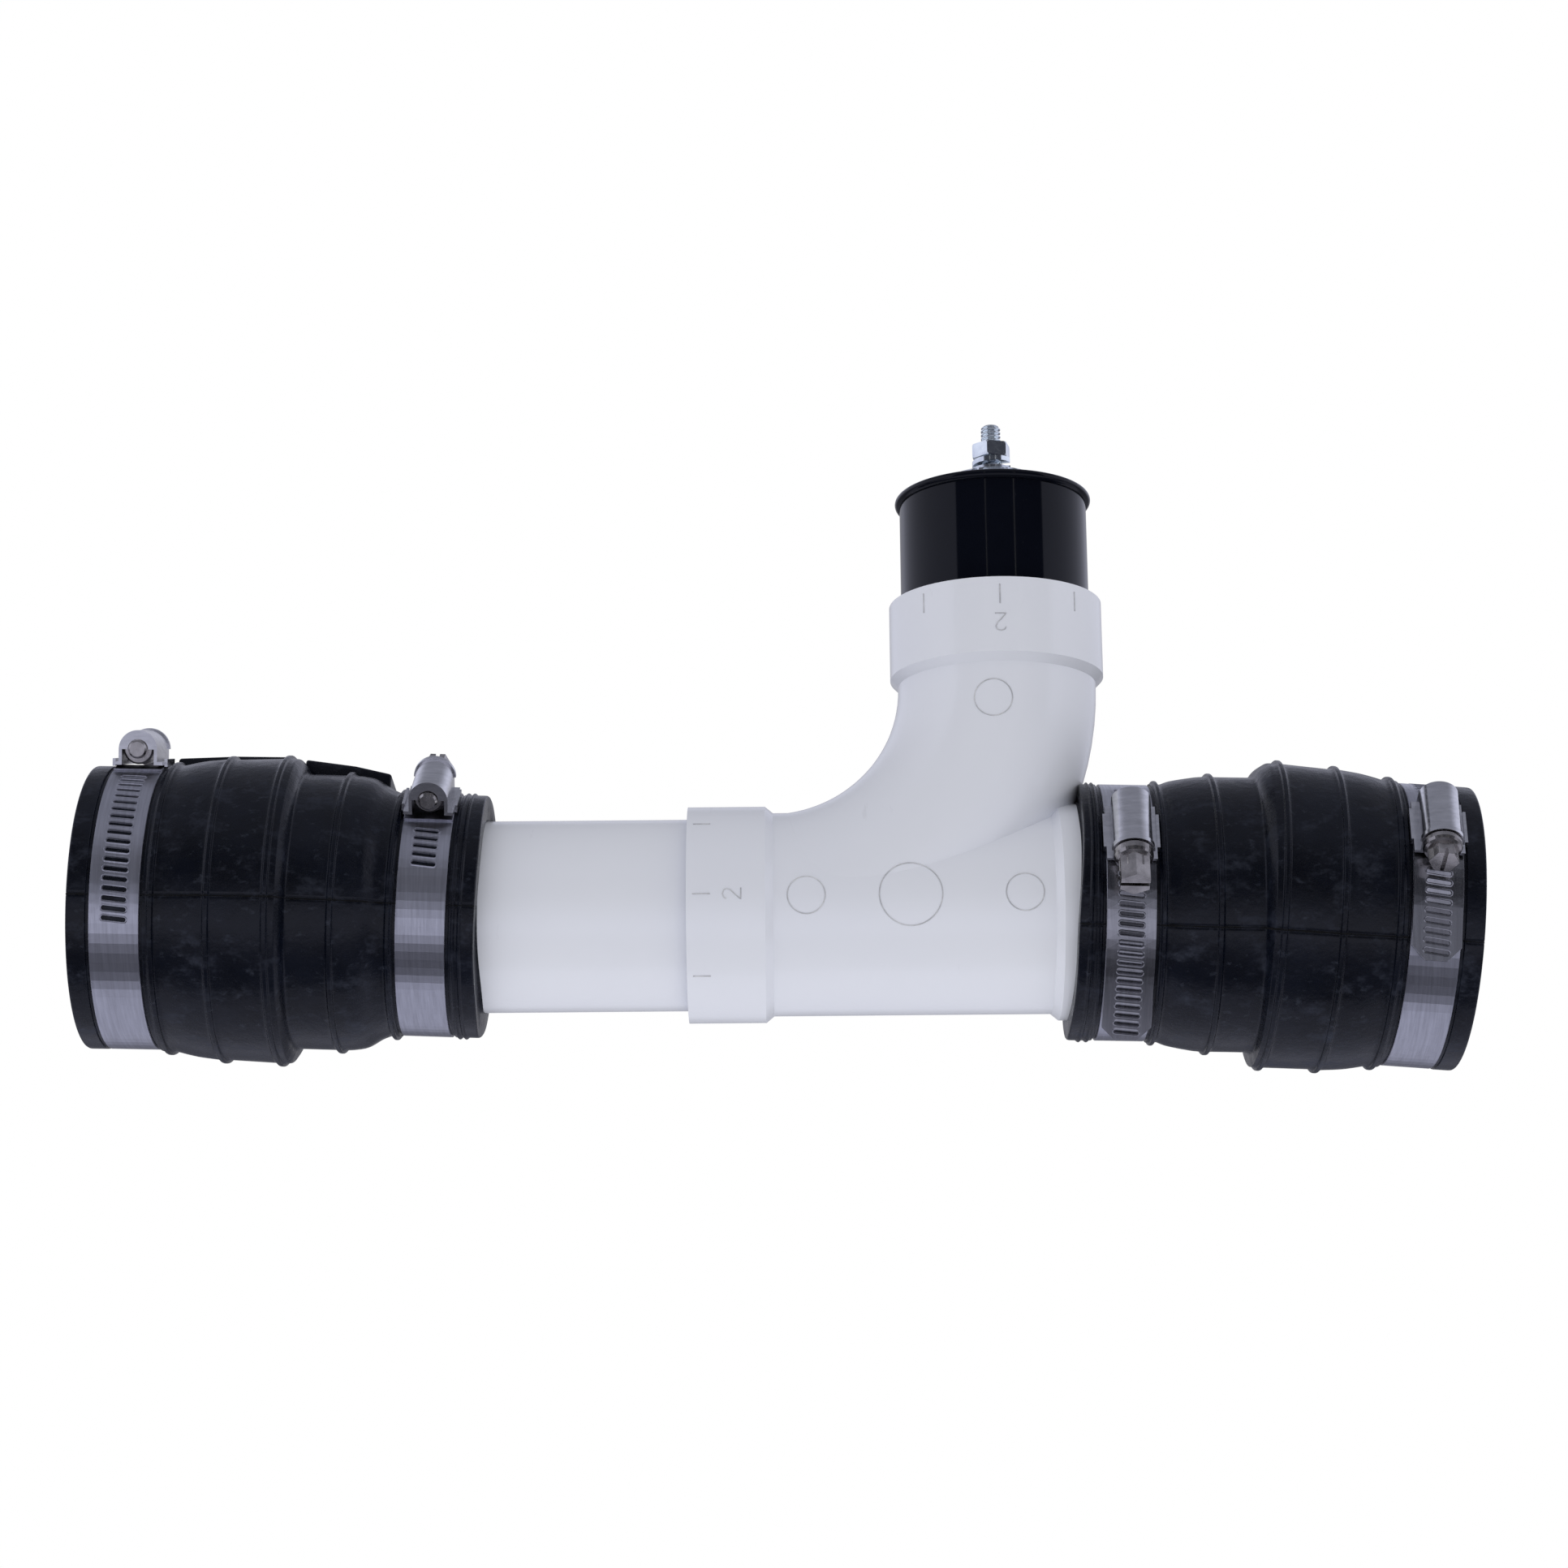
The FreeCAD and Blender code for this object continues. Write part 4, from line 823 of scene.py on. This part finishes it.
def fitting_front(x, z):
    """The fitting's front, where its run and its swept branch meet."""
    depths = []
    if abs(z) < RUN_RADIUS:
        depths.append(math.sqrt(RUN_RADIUS ** 2 - z * z))
    away = math.hypot(x - (BRANCH_X - SWEEP_RADIUS), z - SWEEP_RADIUS) - SWEEP_RADIUS
    if abs(away) < SWEPT_RADIUS and z < SWEEP_RADIUS:
        depths.append(math.sqrt(SWEPT_RADIUS ** 2 - away * away))
    return Vector((x, -max(depths), z + RUN_Z))


def ring_mark(name, x, z, radius):
    """The round mark that an ejector pin leaves."""
    path = []
    for step in range(72):
        angle = FULL_TURN * step / 72
        path.append(fitting_front(x + radius * math.cos(angle), z + radius * math.sin(angle)))
    points, faces = tube(path, 0.2, 6, closed=True)
    # Its darker finish is painted shade of the mark's step.
    new_piece(name, mesh_of(name, points, faces), "white_pvc", finish="pvc_mark_painted_shade")


def stroke_mark(name, corners, surface, radius):
    """A raised line of the mould, laid on a surface."""
    path = []
    for first, last in zip(corners, corners[1:]):
        for step in range(6):
            share = step / 6
            path.append(surface(first[0] + (last[0] - first[0]) * share,
                                first[1] + (last[1] - first[1]) * share))
    path.append(surface(*corners[-1]))
    points, faces = tube(path, radius, 6)
    # Its darker finish is painted shade of the raised line.
    new_piece(name, mesh_of(name, points, faces), "white_pvc", finish="pvc_mark_painted_shade")


# The strokes of the size number 2, and the radii of ticks and digits.
TWO = [(-1.6, 1.7), (-1.1, 2.5), (0.0, 2.8), (1.2, 2.4), (1.6, 1.4), (1.1, 0.3),
       (-0.4, -1.2), (-1.7, -2.8), (1.8, -2.8)]
TICK_RADIUS = 0.24
DIGIT_RADIUS = 0.2

ring_mark("ejector_mark_left", 162.1, -0.4, 5.8)
ring_mark("ejector_mark_middle", 194.2, -0.3, 9.7)
ring_mark("ejector_mark_right", 229.2, 0.0, 5.8)
ring_mark("ejector_mark_branch", 220.9, 61.9, 5.9)
for level, z in (("lower", -24.0), ("middle", -0.3), ("upper", 23.8)):
    stroke_mark(f"inlet_hub_tick_{level}", [(127.3, z), (132.6, z)], run_hub, TICK_RADIUS)
stroke_mark("inlet_hub_two", [(139.3 - v, u - 0.3) for u, v in TWO], run_hub, DIGIT_RADIUS)
for side, x in (("left", 200.1), ("middle", 223.5), ("right", 247.5)):
    stroke_mark(f"branch_hub_tick_{side}", [(x, 97.8), (x, 91.5)], branch_hub, TICK_RADIUS)
stroke_mark("branch_hub_two", [(223.6 - u, 85.5 - v) for u, v in TWO], branch_hub, DIGIT_RADIUS)


# Threaded bolt with its hexagonal head

HEAD_FLATS = 11.1
HEAD_HEIGHT = 4.0
CREST_SHARE = 0.34
FLANK_SHARE = 0.5
END_TAPER = 1.1


def threaded_bolt():
    """The bolt with its thread, tapered at its end, and with its hexagonal head."""
    length_steps = 10
    sides = 40
    bottom = BOLT_TOP - BOLT_LENGTH
    depth = THREAD_PITCH * 0.6
    rows = int(BOLT_LENGTH / THREAD_PITCH * length_steps)
    points = []
    faces = []
    for row in range(rows + 1):
        z = bottom + BOLT_LENGTH * row / rows
        for step in range(sides):
            phase = (z / THREAD_PITCH - step / sides) % 1.0
            wave = abs(phase * 2 - 1)
            cut = min(1.0, max(0.0, (wave - CREST_SHARE) / FLANK_SHARE))
            radius = BOLT_RADIUS - depth * cut
            from_top = BOLT_TOP - z
            radius = min(radius, BOLT_RADIUS - depth + from_top * END_TAPER)
            angle = FULL_TURN * step / sides
            points.append((BRANCH_X + radius * math.cos(angle), radius * math.sin(angle), z))
    for row in range(rows):
        for step in range(sides):
            after = (step + 1) % sides
            faces.append((row * sides + step, row * sides + after,
                          (row + 1) * sides + after, (row + 1) * sides + step))
    faces.append(tuple(range(rows * sides, (rows + 1) * sides)))
    faces.append(tuple(range(sides)))
    piece = new_piece("valve_bolt_thread", mesh_of("valve_bolt_thread", points, faces),
                      "zinc_fastener", "adjuster_bolt")
    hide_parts("valve_bolt")
    head = hexagon("valve_bolt_head", HEAD_FLATS, bottom - HEAD_HEIGHT, bottom, "adjuster_bolt")
    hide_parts("valve_bolt")


def hexagon(name, flats, bottom, top, body):
    """A hexagonal head with its corners turned off at both faces."""
    sides = 48
    across = flats / 2 / math.cos(math.pi / 6)
    inner = flats / 2 * 0.97
    rim = 0.55
    rings = []
    for z, limit in ((bottom, inner), (bottom + rim, across), (top - rim, across), (top, inner)):
        ring = []
        for step in range(sides):
            turn = FULL_TURN * step / sides
            off = (turn % (math.pi / 3)) - math.pi / 6
            flat = flats / 2 / math.cos(off)
            radius = min(flat, limit)
            ring.append((BRANCH_X + radius * math.cos(turn), radius * math.sin(turn), z))
        rings.append(ring)
    points = [p for ring in rings for p in ring]
    faces = [tuple(range(sides)), tuple(range(sides * 3, sides * 4))]
    for row in range(3):
        near = row * sides
        far = near + sides
        for step in range(sides):
            after = (step + 1) % sides
            faces.append((near + step, near + after, far + after, far + step))
    return new_piece(name, mesh_of(name, points, faces), "zinc_fastener", body, smooth=False)


threaded_bolt()


# Spring

def spring():
    """A compression spring with closed ends, riding on the adjuster bolt's body."""
    wire = 0.65
    radius = 9.5 - wire
    turns = 7.5
    path = []
    steps = 300
    for step in range(steps + 1):
        share = step / steps
        angle = share * turns * FULL_TURN
        eased = min(1.0, max(0.0, (share * turns - 0.8) / (turns - 1.6)))
        z = SPRING_BOTTOM + wire + (SPRING_TOP - SPRING_BOTTOM - wire * 2) * eased
        path.append(Vector((BRANCH_X + radius * math.cos(angle), radius * math.sin(angle), z)))
    points, faces = tube(path, wire, 10)
    piece = new_piece("valve_spring_wire", mesh_of("valve_spring_wire", points, faces),
                      "spring_steel", "adjuster_bolt")
    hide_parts("valve_spring")
    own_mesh(piece)


spring()


# The CAD's own pieces get their finishes.
FINISH = {
    "tee_wye_fitting": "white_pvc", "pipe_stub": "white_pvc",
    "valve_tube": "black_tube", "seat_ring": "black_tube", "vent_dome": "zinc_plate",
    "spring_retainer": "zinc_fastener", "lock_washer": "zinc_fastener",
    "adjusting_nut": "zinc_fastener", "valve_disc": "disc_aluminium",
    "disc_gasket": "gasket_rubber", "disc_bush": "bush_brass",
}
for clamp in CLAMPS:
    FINISH[clamp + "_housing"] = "stainless_housing"
    FINISH[clamp + "_screw"] = "screw_steel"
for node, slot in FINISH.items():
    piece = NODES[node]
    piece.data.materials.clear()
    piece.data.materials.append(MATERIALS[slot])


# Floor, light and camera

def build_floor():
    """Pale paper. What the object mirrors of it is a painted reflection in bluish bands: darker in front
    of the table, with bright and dark bands by distance.
    """
    near, far, height = -3000.0, 6000.0, -300.0
    mesh = mesh_of("floor", [(near, near, height), (-near, near, height), (-near, far, height),
                             (near, far, height)], [(0, 1, 2, 3)])
    mesh.transform(Matrix.Scale(MM, 4))
    floor = bpy.data.objects.new("floor", mesh)
    bpy.context.scene.collection.objects.link(floor)
    material, tree, shader = node_tree("floor_paper")
    where = add(tree, "ShaderNodeTexCoord")
    split = add(tree, "ShaderNodeSeparateXYZ")
    tree.links.new(where.outputs["Object"], split.inputs["Vector"])
    forward = add(tree, "ShaderNodeMapRange")
    tree.links.new(split.outputs["Y"], forward.inputs["Value"])
    forward.inputs["From Min"].default_value = -3.0
    forward.inputs["From Max"].default_value = 1.0
    # Greys seen only in reflections: painted reflection bands by distance along Y.
    greys = ((0.0, 0.45), (0.31, 0.75), (0.615, 1.0), (0.66, 0.32), (0.70, 0.11), (0.725, 0.08),
             (0.731, 0.84), (0.86, 0.74), (0.92, 0.25))
    painted_reflection = ramp(tree, forward.outputs["Result"],
                    [(where, (grey * 0.98, grey, grey * 1.22)) for where, grey in greys])
    path = add(tree, "ShaderNodeLightPath")
    shown = mixed(tree, path.outputs["Is Glossy Ray"], (0.94, 0.94, 0.945), painted_reflection)
    tree.links.new(shown, shader.inputs["Base Color"])
    shader.inputs["Roughness"].default_value = 0.9
    shader.inputs["Specular IOR Level"].default_value = 0.0
    mesh.materials.append(material)


def stepped(tree, value, low, high):
    """From 0 to 1 as a value goes from low to high."""
    made = add(tree, "ShaderNodeMapRange", interpolation_type="SMOOTHSTEP")
    tree.links.new(value, made.inputs["Value"])
    made.inputs["From Min"].default_value = low
    made.inputs["From Max"].default_value = high
    return made.outputs["Result"]


def maths(tree, operation, first, second=None):
    """One sum on values or sockets."""
    made = add(tree, "ShaderNodeMath", operation=operation)
    for socket, value in zip(made.inputs, (first, second)):
        if isinstance(value, (int, float)):
            socket.default_value = value
        elif value is not None:
            tree.links.new(value, socket)
    return made.outputs["Value"]


def build_world():
    """White where the camera sees it. What the object mirrors is a painted reflection: darker towards
    the camera, bright at the sides, grey above, below and behind, with two thin bright strips as painted
    highlights.
    """
    world = bpy.data.worlds.new("studio")
    world.use_nodes = True
    bpy.context.scene.world = world
    tree = world.node_tree
    tree.nodes.clear()
    output = add(tree, "ShaderNodeOutputWorld")
    where = add(tree, "ShaderNodeTexCoord")
    split = add(tree, "ShaderNodeSeparateXYZ")
    tree.links.new(where.outputs["Generated"], split.inputs["Vector"])
    ahead = maths(tree, "MULTIPLY", split.outputs["Y"], -1.0)
    height = stepped(tree, split.outputs["Z"], -0.2, 1.0)
    light = ramp(tree, height, [(0.0, 1.08), (0.4, 0.86), (1.0, 0.56)])
    azimuth = maths(tree, "ARCTAN2", split.outputs["X"], ahead)
    left = stepped(tree, maths(tree, "MULTIPLY", azimuth, -1.0), 0.84, 0.88)
    right = stepped(tree, azimuth, 1.02, 1.06)
    raised = stepped(tree, split.outputs["Z"], 0.45, 0.8)
    low = stepped(tree, maths(tree, "MULTIPLY", split.outputs["Z"], -1.0), -0.12, -0.04)
    # What mirrored rays see: a painted reflection, dark towards the camera and bright at the sides.
    painted_reflection = mixed(tree, maths(tree, "MAXIMUM", left, right), (0.04, 0.042, 0.055), (0.72, 0.74, 0.90))
    # Two thin bright strips, seen only in reflections: painted highlights.
    for direction, width, strength in ((-0.21, 0.008, 1.0), (0.40, 0.008, 1.3)):
        off = maths(tree, "ABSOLUTE", maths(tree, "SUBTRACT", azimuth, direction))
        strip = maths(tree, "LESS_THAN", off, width)
        painted_reflection = mixed(tree, strip, painted_reflection, (strength, strength, strength))
    painted_reflection = mixed(tree, maths(tree, "MAXIMUM", low, raised), painted_reflection, (0.27, 0.28, 0.34))
    behind = stepped(tree, split.outputs["Y"], 0.80, 0.97)
    painted_reflection = mixed(tree, behind, painted_reflection, (0.38, 0.38, 0.42))
    path = add(tree, "ShaderNodeLightPath")
    lit = mixed(tree, path.outputs["Is Glossy Ray"], light, painted_reflection)
    shown = mixed(tree, path.outputs["Is Camera Ray"], lit, (1.0, 1.0, 1.0))
    background = add(tree, "ShaderNodeBackground")
    tree.links.new(shown, background.inputs["Color"])
    tree.links.new(background.outputs["Background"], output.inputs["Surface"])


def build_lamp():
    """A wide soft lamp below the object, as on a light table. Metal doesn't mirror it."""
    data = bpy.data.lights.new("table_light", "AREA")
    data.shape = "RECTANGLE"
    data.size = 0.75
    data.size_y = 0.45
    data.energy = 0.5
    lamp = bpy.data.objects.new("table_light", data)
    lamp.location = (0.155, -0.06, -0.29)
    lamp.rotation_euler = (math.pi, 0, 0)
    lamp.visible_camera = False
    lamp.visible_glossy = False
    bpy.context.scene.collection.objects.link(lamp)


def build_camera():
    """The photograph's camera: it stands in front, a little low, and looks up."""
    stand = Vector((155.6, -1052.7, -220.2)) * MM
    yaw, pitch, roll = 0.0, -0.2421, -0.0087
    focal_pixels = 4200.0
    photo_pixels = 1932
    right = Vector((math.cos(yaw), math.sin(yaw), 0))
    ahead = Vector((-math.sin(yaw), math.cos(yaw), 0))
    up = ahead * math.sin(pitch) + Vector((0, 0, math.cos(pitch)))
    ahead = ahead * math.cos(pitch) - Vector((0, 0, math.sin(pitch)))
    right, up = (right * math.cos(roll) + up * math.sin(roll),
                 up * math.cos(roll) - right * math.sin(roll))
    data = bpy.data.cameras.new("camera")
    data.sensor_width = 36.0
    data.lens = focal_pixels / photo_pixels * data.sensor_width
    camera = bpy.data.objects.new("camera", data)
    turned = Matrix((right, up, -ahead)).transposed().to_4x4()
    camera.matrix_world = Matrix.Translation(stand) @ turned
    bpy.context.scene.collection.objects.link(camera)
    bpy.context.scene.camera = camera


build_floor()
build_world()
build_lamp()
build_camera()
bpy.context.scene.view_settings.view_transform = "Standard"
